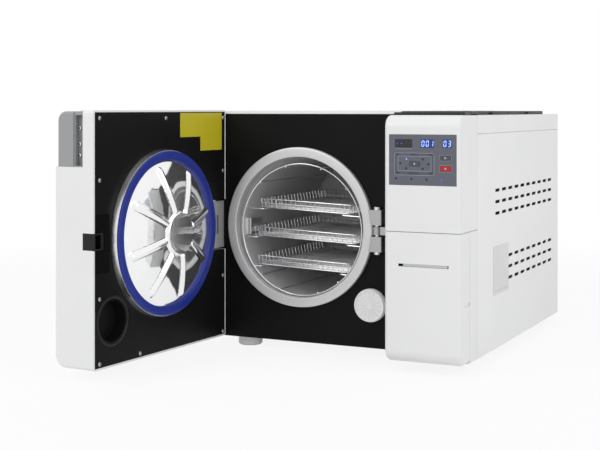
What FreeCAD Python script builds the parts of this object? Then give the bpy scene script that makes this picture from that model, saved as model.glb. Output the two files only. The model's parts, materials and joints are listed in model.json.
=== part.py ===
import FreeCAD, Part
import math
import os

# Bench-top steam autoclave with its full-height door standing open.
# Construction frame: X to the right, Y to the back, Z up, X = 0 on the chamber axis,
# Y = 0 on the black front panel, Z = 0 on the floor. At the end every piece is moved so that
# the frame's origin is the centre of the whole object's footprint. All sizes are millimetres.

# Cabinet
cab_left = 190.0            # chamber axis to the left side
cab_right = 333.0           # chamber axis to the right side
cab_depth = 527.0           # front panel to rear edge
cab_height = 405.0          # underside of the base pan to the flat of the top
field_rise = 7.0            # raised field of the top cover over the chamber
field_right = 199.0         # right end of that field
field_lip = 5.5             # white lip above the black front panel
seam_height = 374.0         # lower edge of the top cover's side flanges
sheet = 1.5                 # sheet metal
flange_lip = 18.0           # hidden laps and upturned edges
seam_gap = 0.6              # visible line between panels
panel_gap = 0.3             # hidden clearance between sheets
side_front_reach = 14.0     # the right side panel starts this far in front of the front panel
foot_height = 17.0
foot_radius = 22.0
foot_inset_y = 30.0
foot_left_x = -115.0
foot_right_x = 285.0
foot_chamfer = 2.5

# Vent slots of the side panels
slot_length = 28.0
slot_height = 5.6
slot_rear_margin = 65.3     # last slot's centre to the rear edge
slot_row_pitch = 20.0
slot_first_y = 102.6
slot_upper_z = 274.0
slot_lower_z = 153.5
slot_rows = 3
slot_columns = 10
slot_lower_columns = 8
slot_corner = 1.9           # clipped corners of the slot ends
slot_pitch = (cab_depth - slot_rear_margin - slot_first_y) / (slot_columns - 1)

# Pressure chamber
chamber_height = 205.0      # chamber axis above the underside of the base pan
bore_radius = 125.0
vessel_wall = 2.5
vessel_depth = 350.0
end_dome_radius = 260.0
dome_bands = 4              # straight bands that make up a dished form
flange_radius = 142.3
flange_neck_radius = 138.0
flange_proud = 8.2          # flange face in front of the front panel
flange_depth = 14.0         # flange behind the front panel
flange_edge = 2.5
heater_front = 80.0
heater_length = 230.0
heater_thickness = 2.5
jacket_front = 60.0
jacket_length = 270.0
jacket_radius = 148.0
saddle_front_y = 30.0
saddle_rear_y = 338.0
saddle_width = 130.0
saddle_thickness = 3.0
guard_height = 30.0         # probe guard on the left wall of the bore
guard_reach = 9.0
guard_front = 34.0
guard_length = 44.0
guard_drop = 6.0            # its centre below the chamber axis
probe_radius = 3.0
probe_gap = 0.5
saddle_cut = 0.7            # saddle height in parts of the bore radius

# Door, given in its closed pose and then swung open about the hinge pin
hinge_x = -161.2
hinge_y = -31.6
door_open_deg = 94.5
door_right = 185.2          # free edge of the closed door
door_front = 102.0          # outer face in front of the front panel
door_bottom = 1.5           # above the underside of the base pan
door_top = 413.0
door_wall = 3.0
door_corner = 20.0          # rounding of the long outer edges, top and bottom
door_edge = 5.0             # rounding of the upright outer edges
seal_gap = 0.3              # closed seal to flange face
seal_proud = 13.5           # seal in front of the inner panel
seal_inner_radius = 124.2
seal_outer_radius = 139.4
seal_seat = 3.0             # seal seat in front of the inner panel
seal_chamfer = 3.0
seal_fit = 0.1              # seal to the walls of its seat
lid_rim_radius = 141.5
lid_sheet = 2.0
lid_rim_proud = 9.5
lid_clearance = 0.5
lid_dome_radius = 310.0
lid_dome_edge = 122.0
lid_dome_foot = 9.0         # dome edge in front of the inner panel
boss_radius = 37.0
boss_face_radius = 34.0
boss_proud = 38.5
rib_count = 8
rib_width = 10.0
rib_top_width = 5.0
rib_height = 5.5
rib_inner = 34.0
rib_outer = 116.0
rib_turn_deg = 29.0
stud_radius = 9.0
beam_height = 32.5
beam_thickness = 15.0
knuckle_radius = 9.0
pin_radius = 4.5
pin_clearance = 0.05
pin_head_radius = 7.0
pin_head_height = 3.0
arm_height = 85.0
arm_thickness = 13.0
arm_gap = 0.5               # between the arm's fork and the door's knuckle
hinge_window_height = 91.0
hinge_window_reach = 20.0   # past the pin, towards the chamber axis
striker_length = 22.0
striker_height = 27.0
striker_depth = 22.0
striker_wall = 2.5
striker_proud = 1.5         # striker in front of the inner panel
striker_lip = 3.0           # edge that the claw pulls on
handle_length = 46.0
handle_height = 90.0
handle_inset_outer = 4.6
handle_inset_edge = 1.5
handle_inner_face = 58.0    # handle's inner side from the outer face of the door
channel_depth = 10.8
channel_width = 15.7
channel_wall = 4.0
channel_step_width = 2.7
channel_step_depth = 2.0
pocket_radius = 36.0
pocket_depth = 22.0
pocket_wall = 2.0
screw_head_radius = 3.6
screw_head_height = 2.0
screw_radius = 1.8
screw_length = 10.0
screw_clearance = 0.1
screw_block = 12.0
screw_edge = 6.0            # screw axis from the shell's inner wall, hinge side and bottom
screw_edge_free = 11.5
screw_edge_top = 9.0
screw_below_axis = 92.0
screw_above_axis = 97.0
screw_low_x = 66.0          # single screws in the middle of the lower and upper edge
screw_high_x = -6.0
screw_spare = 2.0           # hole beyond the tip of the screw
handle_screw_offsets = (178.2, 152.6, 134.8)    # above the chamber axis
handle_screw_y = 13.5
handle_screw_head = 3.0
pocket_taper = 3.0
stud_spread = 3.0           # spreader radius in parts of the stud's
spreader_thickness = 5.0
hinge_window_depth = 26.0

# Lock beside the flange
lug_left = 136.5
lug_right = 162.5
lug_front = 16.0
lug_back = 12.0
lug_height = 26.0
lug_space = 20.0            # gap for the hook
lock_pin_x = 151.0
lock_pin_y = -6.0
lock_pin_radius = 4.0
lock_head_radius = 6.0
lock_head_height = 5.0
hook_thickness = 14.0
hook_reach = 34.0
hook_hub_radius = 8.5
hook_width = 9.0
hook_claw_width = 7.0
hook_claw_deg = 24.0        # sweep of the claw about the pin

# Air filter
filter_x = 138.0
filter_height = 75.0
filter_radius = 29.5
filter_proud = 13.0
filter_hub_radius = 7.0
filter_spoke_count = 16
filter_spoke_width = 2.2
filter_rim = 3.0
filter_web_recess = 2.0
filter_web_sunk = 0.3
filter_chamfer = 1.5
filter_neck_length = 20.0

# Rack and trays
rack_ring_radius = 119.5    # outside of the ring wire
rack_wire = 2.0
rack_rod = 1.5
rack_front = 4.5
rack_length = 309.0
rack_roll_deg = 2.3         # the loose rack lies slightly turned
tray_pitch = 52.0
tray_widths = (188.0, 211.0, 190.0)
tray_length = 292.0
tray_front = 17.0           # front end of the trays
tray_depth = 17.5
tray_rim_offset = -2.0
tray_wall = 2.0
tray_bar = 4.0
tray_cells_across = 3
tray_cells_along = 6
tray_side_cells = 8
tray_end_cells = 4
tray_clearance = 0.3
rail_inset = 18.0
rack_rod_angles = (72.5, 43.0, 289.0, 311.0)

# Column
column_left = 202.0
column_bottom = 1.0
column_edge = 6.0
column_corner = 20.0
column_wall = 3.0
part_height = 215.0         # line between the control cover and the service cover
part_gap = 0.8
service_back = 54.5         # rear edge of the service cover, in front of the front panel
service_gap = 1.0
service_pin_inset = 6.5
service_pin_radius = 1.5
service_round = 6.75        # hinge edge of the cover, about its pin
service_round_gap = 0.45
service_return = 1.0        # how far the hinge edge reaches behind the pin
service_post_radius = 3.4
service_post_height = 8.0
service_arm_radius = 3.2
service_arm_width = 3.5
service_arm_thickness = 4.0
service_arm_deg = 35.0
service_arm_reach = 10.0
service_arm_low = 20.0      # lower arm above the bottom of the column
service_arm_high = 16.0     # upper arm below the line between the covers
paper_slot_left = 226.4
paper_slot_right = 312.8
paper_slot_height = 161.0
paper_slot_gap = 4.5
notch_front = 80.0
notch_bottom = 94.5
notch_height = 6.5
panel_left = 211.0
panel_right = 326.0
panel_top = 373.5
panel_bottom = 291.5
panel_thickness = 1.2
panel_edge = 0.4            # clearance round the membrane in its recess
key_proud = 0.9
key_travel = 0.6
key_clearance = 0.3
key_stem = 3.4
key_flange = 1.5
key_flange_thickness = 1.0
display_boxes = ((221.0, 251.0), (265.5, 288.2), (302.9, 317.9))
display_top = 366.0
display_height = 13.6
display_thickness = 2.0
display_sunk = 0.2          # panes behind the face of the membrane
centre_key = (246.4, 263.6, 322.6, 329.9)
start_key = (299.2, 316.5, 332.8, 339.8)
stop_key = (298.3, 317.4, 315.0, 323.3)
board_thickness = 1.6
board_gap = 6.0
board_post_radius = 3.0
board_post_inset = 4.0
key_round = 0.6

# Tank and its lids
tank_left = 210.0
tank_right = 321.0
tank_front = 12.0
tank_rear = 424.0
tank_depth = 140.0
tank_wall = 2.5
tank_rim = 6.0
tank_rim_thickness = 1.6
lid_thickness = 4.8
tank_lid_split = 189.5
tank_lid_gap = 3.0
cap_front = 62.0
cap_back = 31.0
tank_lid_front = 29.0       # front edge of the first lid, in front of the front panel
lid_skirt_depth = 6.0
lid_skirt_gap = 0.4
lid_skirt_wall = 2.0
lid_edge = 1.5
grip_length = 28.0
grip_depth = 5.0

# Drain taps and printer behind the service cover
tap_inset = 25.0            # right tap from the right side of the cabinet
tap_pitch = 30.0
tap_height = 45.0
tap_radius = 9.0
tap_length = 14.0
spout_radius = 5.0
spout_length = 14.0
printer_margin = 2.0        # case beyond the ends of the paper slot
printer_depth = 36.0
printer_below = 24.0
printer_above = 16.0
throat_depth = 10.0

# Fan, condenser and rear grille
fan_size = 120.0
fan_depth = 25.0
fan_x = 240.0
fan_height = 200.0
fan_duct_gap = 2.0          # duct wall outside the blades
fan_arm_width = 8.0
fan_arm_thickness = 4.0
fan_arm_lap = 3.0
fan_hub_radius = 20.0
fan_blade_count = 7
fan_blade_radius = 54.0
fan_blade_depth = 14.0
fan_blade_thickness = 2.0
fan_blade_deg = 50.0
fan_blade_spare = 4.0
fan_hub_lap = 2.0
fan_axle_radius = 3.0
fan_axle_length = 16.0
condenser_depth = 44.0
condenser_wall = 6.0
condenser_slots = 9
condenser_slot = 8.0
grille_bars = 9
grille_pitch = 12.0
grille_slot = 7.0

# Mains inlet with its rocker switch
inlet_x = -120.0
inlet_bottom = 60.0
inlet_width = 50.0
inlet_height = 28.0
inlet_spare = 12.0          # case above the socket that doesn't belong to the rocker
inlet_lip = 3.0
inlet_bezel = 2.5
inlet_depth = 24.0
socket_width = 27.0
socket_height = 20.0
socket_sill = 6.0
socket_depth = 17.0
contact_width = 2.0
contact_height = 4.0
contact_recess = 3.0        # contact tips behind the rear face
contact_root = 1.0
contact_spread = 7.0
contact_low = 13.0
contact_high = 18.0
rocker_height = 21.0
rocker_width = 27.0
rocker_well_depth = 14.0
rocker_top_wall = 8.0
rocker_sunk = 4.0           # rocker axis behind the rear face
rocker_gap = 0.5
rocker_end_gap = 1.2
rocker_proud = 3.2
rocker_end_proud = 1.0
rocker_root = 5.0
rocker_pin_radius = 1.5
rocker_tilt_deg = 8.0

# Safety valve on the vessel's end
safety_stem_radius = 8.0
safety_body_radius = 15.0
safety_body_start = 20.0
safety_body_length = 50.0
safety_cap_radius = 11.0
safety_cap_length = 6.0

# Units on the base pan. The place of a pump is the middle of its foot, and its motor sinks a
# little into the foot
pump_x = 262.0
pump_sink = 2.0
vacuum_pump_rear = 197.0    # from the rear edge of the cabinet
vacuum_foot_half = (45.0, 60.0)
vacuum_foot_height = 6.0
vacuum_motor_radius = 38.0
vacuum_motor_front = -30.0
vacuum_motor_length = 90.0
vacuum_head_half = 30.0
vacuum_head_lap = 4.0
vacuum_head_height = 84.0
water_pump_share = 0.36     # place of the water pump and the valve block in the cabinet's depth
water_foot_half = (24.0, 30.0)
water_foot_height = 4.0
water_motor_radius = 20.0
water_motor_front = -35.0
water_motor_length = 70.0
valve_block_share = 0.15
valve_block_half = (40.0, 16.0)
valve_block_height = 34.0
valve_coil_count = 3
valve_coil_pitch = 24.0
valve_coil_width = 20.0
valve_coil_depth = 24.0
valve_coil_height = 36.0
generator_radius = 42.0
generator_flange_radius = 48.0
generator_height = 112.0
generator_flange_height = 92.0
generator_flange_thickness = 8.0
generator_port_radius = 8.0
generator_port_height = 20.0
generator_gap = 2.0         # flange to the side panel
generator_rear = 92.0       # axis in front of the rear edge of the cabinet


def vec(x, y, z):
    return FreeCAD.Vector(x, y, z)


def box(x0, x1, y0, y1, z0, z1):
    return Part.makeBox(x1 - x0, y1 - y0, z1 - z0, vec(x0, y0, z0))


def rod(radius, start, end):
    return Part.makeCylinder(radius, (end - start).Length, start, end - start)


def upright(radius, x, y, z0, z1):
    return Part.makeCylinder(radius, z1 - z0, vec(x, y, z0))


def along_y(radius, x, z, y0, y1):
    return Part.makeCylinder(radius, y1 - y0, vec(x, y0, z), vec(0, 1, 0))


def joined(shapes):
    first = shapes[0]
    return first.multiFuse(shapes[1:]).removeSplitter() if len(shapes) > 1 else first


def rounded(shape, radius, chosen):
    edges = [edge for edge in shape.Edges if chosen(edge)]
    return shape.makeFillet(radius, edges)


def near(value, target):
    return abs(value - target) < 0.01


def is_upright(edge):
    ends = edge.Vertexes
    return len(ends) == 2 and near(ends[0].X, ends[1].X) and near(ends[0].Y, ends[1].Y)


def runs_along_x(edge):
    ends = edge.Vertexes
    return len(ends) == 2 and near(ends[0].Y, ends[1].Y) and near(ends[0].Z, ends[1].Z)


def runs_along_y(edge):
    ends = edge.Vertexes
    return len(ends) == 2 and near(ends[0].X, ends[1].X) and near(ends[0].Z, ends[1].Z)


def mid(edge):
    return edge.BoundBox.Center


def turned(profile, x, z):
    """Revolves a profile of (radius, y) points, lines and arcs, about an axis along Y."""
    wire = Part.Wire(profile)
    face = Part.Face(wire)
    solid = face.revolve(vec(0, 0, 0), vec(0, 1, 0), 360)
    solid.translate(vec(x, 0, z))
    return solid


def dished(radius_from, radius_to, sphere, crown_y):
    """Points of a dished form between two radii; its crown lies at crown_y and it falls towards -Y."""
    start, end = math.asin(radius_from / sphere), math.asin(radius_to / sphere)
    angles = [start + (end - start) * band / dome_bands for band in range(dome_bands + 1)]
    return [(sphere * math.sin(angle), crown_y - sphere * (1 - math.cos(angle))) for angle in angles]


def path(points):
    """Straight edges through (radius, y) points, as one closed outline."""
    corners = [vec(radius, y, 0) for radius, y in points]
    return [Part.LineSegment(a, b).toShape() for a, b in zip(corners, corners[1:] + corners[:1])]


def slot_along_y(x0, x1, y, z, length, height):
    """A slot with clipped corners through a side panel."""
    end, half, clip = length / 2, height / 2, slot_corner
    quarter = [(end, half - clip), (end - clip, half)]
    corners = quarter + [(-a, b) for a, b in reversed(quarter)]
    corners += [(-a, -b) for a, b in quarter] + [(a, -b) for a, b in reversed(quarter)]
    points = [vec(x0, y + along, z + up) for along, up in corners]
    return Part.Face(Part.makePolygon(points + points[:1])).extrude(vec(x1 - x0, 0, 0))


base_z = foot_height
floor_z = base_z + sheet
top_z = base_z + cab_height
field_z = top_z + field_rise
axis_z = base_z + chamber_height
seam_z = base_z + seam_height
door_plane = -(flange_proud + seal_gap + seal_proud)    # inner panel face of the closed door
door_left = -cab_left
door_z0 = base_z + door_bottom
door_z1 = base_z + door_top
column_z0 = base_z + column_bottom
part_z = base_z + part_height
fork_z0 = axis_z - arm_height / 2
fork_z1 = axis_z + arm_height / 2
dome_centre = door_plane + lid_dome_foot - math.sqrt(lid_dome_radius ** 2 - lid_dome_edge ** 2)
vessel_radius = bore_radius + vessel_wall
heater_radius = vessel_radius + heater_thickness
nodes = {}


# Cabinet panels

def side_panel(outer_x, inner_x, front_y, upper_columns, lower_columns):
    x0, x1 = min(outer_x, inner_x), max(outer_x, inner_x)
    inward = 1 if inner_x > outer_x else -1
    plate = box(x0, x1, front_y, cab_depth, base_z, seam_z - seam_gap)
    lip0, lip1 = sorted((inner_x, inner_x + inward * sheet))
    lip = box(lip0, lip1, flange_lip, cab_depth - flange_lip, seam_z - flange_lip, seam_z + flange_lip)
    slots = []
    for rows_top, columns in ((slot_upper_z, upper_columns), (slot_lower_z, lower_columns)):
        first = slot_columns - columns
        for row in range(slot_rows):
            for column in range(first, slot_columns):
                y = slot_first_y + column * slot_pitch
                z = base_z + rows_top - row * slot_row_pitch
                slots.append(slot_along_y(x0 - 1, x1 + 1, y, z, slot_length, slot_height))
    return joined([plate, lip]).cut(slots)


def base_pan():
    pan = box(-cab_left, cab_right, sheet, cab_depth, base_z, floor_z)
    inner_left, inner_right = -cab_left + sheet, cab_right - sheet
    rear = cab_depth - 2 * sheet
    edges = [box(inner_left, inner_left + sheet, sheet * 2, rear, base_z, base_z + flange_lip),
             box(inner_right - sheet, inner_right, sheet * 2, rear, base_z, base_z + flange_lip),
             box(inner_left, inner_right, sheet, sheet * 2, base_z, base_z + flange_lip),
             box(inner_left, inner_right, rear - sheet, rear, base_z, base_z + flange_lip)]
    side_room = [box(-cab_left - 1, inner_left, 0, cab_depth + 1, base_z - 1, base_z + flange_lip),
                 box(inner_right, cab_right + 1, 0, cab_depth + 1, base_z - 1, base_z + flange_lip),
                 box(inner_left, inner_right, rear, cab_depth + 1, base_z - 1, base_z + flange_lip)]
    return joined([pan] + edges).cut(side_room)


def front_panel():
    plate = box(-cab_left + sheet, cab_right - sheet, 0, sheet, base_z, top_z - sheet)
    raised = box(-cab_left + sheet, field_right - sheet, 0, sheet, top_z - sheet,
                 field_z - field_lip - panel_gap)
    mouth = along_y(flange_neck_radius, 0, axis_z, -1, sheet + 1)
    lock_window = box(lug_left, lug_right, -1, sheet + 1, axis_z - lug_height - lug_space / 2,
                      axis_z + lug_height + lug_space / 2)
    arm_window = box(hinge_x - arm_thickness / 2, hinge_x + arm_thickness / 2, -1, sheet + 1,
                     fork_z0, fork_z1)
    filter_hole = along_y(filter_hub_radius, filter_x, base_z + filter_height, -1, sheet + 1)
    return joined([plate, raised]).cut([mouth, lock_window, arm_window, filter_hole])


def rear_panel():
    y0, y1 = cab_depth - 2 * sheet, cab_depth - sheet
    plate = box(-cab_left + sheet, cab_right - sheet, y0, y1, base_z, top_z - sheet)
    cuts = []
    for index in range(grille_bars):
        offset = (index - (grille_bars - 1) / 2) * grille_pitch
        inside = abs(offset) < fan_blade_radius
        half = math.sqrt(fan_blade_radius ** 2 - offset ** 2) if inside else grille_pitch
        cuts.append(box(fan_x - half, fan_x + half, y0 - 1, y1 + 1, fan_z + offset - grille_slot / 2,
                        fan_z + offset + grille_slot / 2))
    cuts.append(box(inlet_x - inlet_width / 2, inlet_x + inlet_width / 2, y0 - 1, y1 + 1,
                    inlet_z0, inlet_z1))
    cuts.append(along_y(safety_stem_radius, 0, axis_z, y0 - 1, y1 + 1))
    return plate.cut(cuts)


def top_cover():
    x0, x1 = -cab_left, cab_right
    body = joined([box(x0, x1, 0, cab_depth, seam_z, top_z),
                   box(column_left, x1, -side_front_reach, 0, seam_z, top_z),
                   box(x0, field_right, 0, cab_depth, top_z - sheet, field_z)])
    hollow = joined([box(x0 + sheet, x1 - sheet, -side_front_reach - 1, cab_depth - sheet,
                         seam_z - 1, top_z - sheet),
                     box(x0 + sheet, field_right - sheet, sheet, cab_depth - sheet,
                         top_z - sheet - 1, field_z - sheet)])
    open_front = box(x0 + sheet, field_right - sheet, -1, sheet, top_z - sheet - 1, field_z - field_lip)
    tank_mouth = box(tank_left - tank_wall, tank_right + tank_wall, tank_front - tank_wall,
                     tank_rear + tank_wall, top_z - sheet - 1, top_z + 1)
    shell = body.cut([hollow, open_front, tank_mouth])
    return rounded(shell, sheet, lambda edge: runs_along_y(edge) and near(mid(edge).z, field_z)
                   and near(mid(edge).x, x0))


def feet():
    result = []
    for x in (foot_left_x, foot_right_x):
        for y in (foot_inset_y, cab_depth - foot_inset_y):
            tread = Part.makeCone(foot_radius - foot_chamfer, foot_radius, foot_chamfer, vec(x, y, 0))
            result.append(joined([tread, upright(foot_radius, x, y, foot_chamfer, base_z)]))
    return Part.makeCompound(result)


# Chamber

def dome_rise(sphere, radius):
    return sphere - math.sqrt(sphere ** 2 - radius ** 2)


def chamber_vessel():
    """Drawn shell with a dished end, open in front where the flange is welded on."""
    inner_sphere = end_dome_radius - vessel_wall
    outer_crown = vessel_depth + dome_rise(end_dome_radius, vessel_radius)
    inner_crown = vessel_depth + dome_rise(inner_sphere, bore_radius)
    outside = dished(0, vessel_radius, end_dome_radius, outer_crown)
    inside = dished(0, bore_radius, inner_sphere, inner_crown)
    mouth = [(vessel_radius, flange_depth), (bore_radius, flange_depth)]
    return turned(path(outside + mouth + inside[::-1]), 0, axis_z)


def chamber_flange():
    front = -flange_proud
    half_edge = flange_edge / 2
    points = [(bore_radius, flange_depth), (bore_radius, front + half_edge),
              (bore_radius + half_edge, front), (flange_radius - flange_edge, front),
              (flange_radius, front + flange_edge), (flange_radius, 0),
              (flange_neck_radius, 0), (flange_neck_radius, flange_depth)]
    return turned(path(points), 0, axis_z)


def ring(inner, outer, y0, y1):
    return turned(path([(inner, y0), (outer, y0), (outer, y1), (inner, y1)]), 0, axis_z)


def vessel_saddles():
    plates = []
    for y in (saddle_front_y, saddle_rear_y):
        plate = box(-saddle_width / 2, saddle_width / 2, y, y + saddle_thickness, floor_z,
                    axis_z - bore_radius * saddle_cut)
        foot = box(-saddle_width / 2, saddle_width / 2, y, y + flange_lip,
                   floor_z, floor_z + saddle_thickness)
        seat = along_y(vessel_radius, 0, axis_z, y - 1, y + flange_lip + 1)
        plates.append(joined([plate, foot]).cut(seat))
    return Part.makeCompound(plates)


def probe_guard():
    """A small bracket on the left wall of the bore that shields the temperature probe."""
    low, high = axis_z - guard_drop - guard_height / 2, axis_z - guard_drop + guard_height / 2
    left, right = -bore_radius, -bore_radius + guard_reach
    bracket = box(left, right, guard_front, guard_front + guard_length, low, high)
    hollow = box(left, right - tray_wall, guard_front + tray_wall, guard_front + guard_length - tray_wall,
                 low - 1, high + 1)
    probe_x, probe_y = left + probe_radius + probe_gap, guard_front + guard_length / 2
    probe = upright(probe_radius, probe_x, probe_y, low, high)
    return joined([bracket.cut(hollow), probe]).common(along_y(bore_radius, 0, axis_z, 0, vessel_depth))


# Rack and trays, laid in the bore and rolled a little

rack_z = axis_z - (bore_radius - rack_ring_radius) + tray_clearance


def rolled(shape):
    shape.rotate(vec(0, 0, rack_z), vec(0, 1, 0), rack_roll_deg)
    return shape


def tray_floor_z(level):
    return rack_z + tray_rim_offset + (1 - level) * tray_pitch - tray_depth


def rack_frame():
    """Two wire rings joined by long rods, with three pairs of rails for the trays."""
    ring_line = rack_ring_radius - rack_wire
    rear = rack_front + rack_length
    section = [(ring_line - rack_wire, -rack_wire), (ring_line + rack_wire, -rack_wire),
               (ring_line + rack_wire, rack_wire), (ring_line - rack_wire, rack_wire)]
    pieces = []
    for y in (rack_front, rear):
        hoop = turned(path(section), 0, rack_z)
        hoop.translate(vec(0, y, 0))
        pieces.append(hoop)
    mirrored = tuple(180 - angle for angle in rack_rod_angles)
    for angle in rack_rod_angles + mirrored:
        x = ring_line * math.cos(math.radians(angle))
        z = rack_z + ring_line * math.sin(math.radians(angle))
        pieces.append(box(x - rack_rod, x + rack_rod, rack_front, rear, z - rack_rod, z + rack_rod))
    for level, width in enumerate(tray_widths):
        rail_z = tray_floor_z(level) - rack_rod
        low, high = rail_z - rack_rod, rail_z + rack_rod
        reach = math.sqrt(ring_line ** 2 - (rail_z - rack_z) ** 2)
        for side in (-1, 1):
            rail_x = side * (width / 2 - rail_inset)
            pieces.append(box(rail_x - rack_rod, rail_x + rack_rod, rack_front, rear, low, high))
            inner, outer = sorted((rail_x, side * reach))
            for y in (rack_front, rear):
                pieces.append(box(inner, outer, y - rack_rod, y + rack_rod, low, high))
    return rolled(joined(pieces))


def wire_tray(level):
    """Tray with an open grid floor, slotted sides and grid ends."""
    half = tray_widths[level] / 2
    z0 = tray_floor_z(level)
    y0, y1 = tray_front, tray_front + tray_length
    outside = box(-half, half, y0, y1, z0, z0 + tray_depth)
    inside = box(-half + tray_wall, half - tray_wall, y0 + tray_wall, y1 - tray_wall, z0 + tray_wall,
                 z0 + tray_depth + 1)
    cuts = [inside]
    cell_x = (2 * half - tray_bar) / tray_cells_across
    cell_y = (tray_length - tray_bar) / tray_cells_along
    for column in range(tray_cells_across):
        for row in range(tray_cells_along):
            x, y = -half + tray_bar + column * cell_x, y0 + tray_bar + row * cell_y
            cuts.append(box(x, x + cell_x - tray_bar, y, y + cell_y - tray_bar, z0 - 1, z0 + tray_wall + 1))
    low, high = z0 + tray_bar, z0 + tray_depth - tray_bar
    side_step = (tray_length - tray_bar) / tray_side_cells
    for row in range(tray_side_cells):
        y = y0 + tray_bar + row * side_step
        cuts.append(box(-half - 1, half + 1, y, y + side_step - tray_bar, low, high))
    end_step = (2 * half - tray_bar) / tray_end_cells
    for column in range(tray_end_cells):
        x = -half + tray_bar + column * end_step
        cuts.append(box(x, x + end_step - tray_bar, y0 - 1, y1 + 1, low, high))
    return rolled(outside.cut(cuts))


# Hinge and lock

def hinge_arm():
    """Steel arm from beside the flange to the pin, forked for the door's knuckle."""
    half = arm_thickness / 2
    blade = box(hinge_x - half, hinge_x + half, hinge_y, flange_depth, fork_z0, fork_z1)
    nose = upright(knuckle_radius, hinge_x, hinge_y, fork_z0, fork_z1)
    foot = box(hinge_x - half, -vessel_radius + half, flange_depth - half, flange_depth,
               fork_z0, fork_z1)
    arm = joined([blade, nose, foot])
    gap = beam_height / 2 + arm_gap
    fork_gap = upright(knuckle_radius + 4, hinge_x, hinge_y, axis_z - gap, axis_z + gap)
    bore = upright(pin_radius, hinge_x, hinge_y, fork_z0 - 1, fork_z1 + 1)
    return arm.cut([fork_gap, bore, along_y(flange_neck_radius, 0, axis_z, -1, flange_depth + 1)])


def hinge_pin():
    shaft = upright(pin_radius, hinge_x, hinge_y, fork_z0 - pin_head_height, fork_z1)
    head = upright(pin_head_radius, hinge_x, hinge_y, fork_z1, fork_z1 + pin_head_height)
    return joined([shaft, head])


def lock_lugs():
    lugs = []
    for side in (-1, 1):
        z0 = axis_z + side * (lug_space + lug_height) / 2 - lug_height / 2
        lug = box(lug_left, lug_right, -lug_front, lug_back, z0, z0 + lug_height)
        lug = rounded(lug, 2.0, lambda edge: is_upright(edge) and near(mid(edge).y, -lug_front))
        bore = upright(lock_pin_radius, lock_pin_x, lock_pin_y, z0 - 1, z0 + lug_height + 1)
        lugs.append(lug.cut([bore, along_y(flange_radius, 0, axis_z, -lug_front - 1, 0),
                             along_y(flange_neck_radius, 0, axis_z, -1, lug_back + 1)]))
    return Part.makeCompound(lugs)


def lock_pin():
    z0 = axis_z - lug_space / 2 - lug_height
    z1 = axis_z + lug_space / 2 + lug_height
    shaft = upright(lock_pin_radius, lock_pin_x, lock_pin_y, z0, z1)
    heads = [upright(lock_head_radius, lock_pin_x, lock_pin_y, z1, z1 + lock_head_height),
             upright(lock_head_radius, lock_pin_x, lock_pin_y, z0 - lock_head_height, z0)]
    return joined([shaft] + heads)


def lock_hook():
    """Flat hook that turns on the lock pin; its claw sweeps into the striker when it locks."""
    z0, z1 = axis_z - hook_thickness / 2, axis_z + hook_thickness / 2
    hub = upright(hook_hub_radius, lock_pin_x, lock_pin_y, z0, z1)
    blade = box(lock_pin_x, lock_pin_x + hook_reach, lock_pin_y - hook_width / 2,
                lock_pin_y + hook_width / 2, z0, z1)
    blade = blade.common(upright(hook_reach, lock_pin_x, lock_pin_y, z0, z1))
    sweep = math.radians(hook_claw_deg)
    far = 2 * hook_reach
    sector = [vec(lock_pin_x, lock_pin_y, z0), vec(lock_pin_x + far, lock_pin_y, z0),
              vec(lock_pin_x + far * math.cos(sweep), lock_pin_y - far * math.sin(sweep), z0)]
    wedge = Part.Face(Part.makePolygon(sector + sector[:1])).extrude(vec(0, 0, hook_thickness))
    band = upright(hook_reach, lock_pin_x, lock_pin_y, z0, z1).cut(
        upright(hook_reach - hook_claw_width, lock_pin_x, lock_pin_y, z0 - 1, z1 + 1))
    hook = joined([hub, blade, band.common(wedge)])
    return hook.cut(upright(lock_pin_radius + pin_clearance, lock_pin_x, lock_pin_y, z0 - 1, z1 + 1))


# Door, modelled closed

striker_z0 = axis_z - striker_height / 2
striker_z1 = axis_z + striker_height / 2
pocket_x = filter_x
pocket_z = base_z + filter_height


def swung(shape):
    shape.rotate(vec(hinge_x, hinge_y, 0), vec(0, 0, 1), -door_open_deg)
    return shape


def screw_places():
    near_edge, free_edge = door_left + door_wall + screw_edge, door_right - door_wall - screw_edge_free
    low, high = door_z0 + door_wall + screw_edge, door_z1 - door_wall - screw_edge_top
    lower, upper = axis_z - screw_below_axis, axis_z + screw_above_axis
    places = [(x, z) for x in (near_edge, free_edge) for z in (low, high, lower, upper)]
    return places + [(screw_low_x, low), (screw_high_x, high)]


def hinge_window(y0, y1, x1):
    return box(door_left - 1, x1, y0, y1, axis_z - hinge_window_height / 2, axis_z + hinge_window_height / 2)


def handle_space():
    return box(door_right - handle_length, door_right + 1, -door_front - 1, -door_front + handle_inner_face,
               door_z1 - handle_height, door_z1 + 1)


def striker_space():
    return box(door_right - striker_length, door_right + 1, door_plane - striker_depth, door_plane + 1,
               striker_z0, striker_z1)


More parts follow.
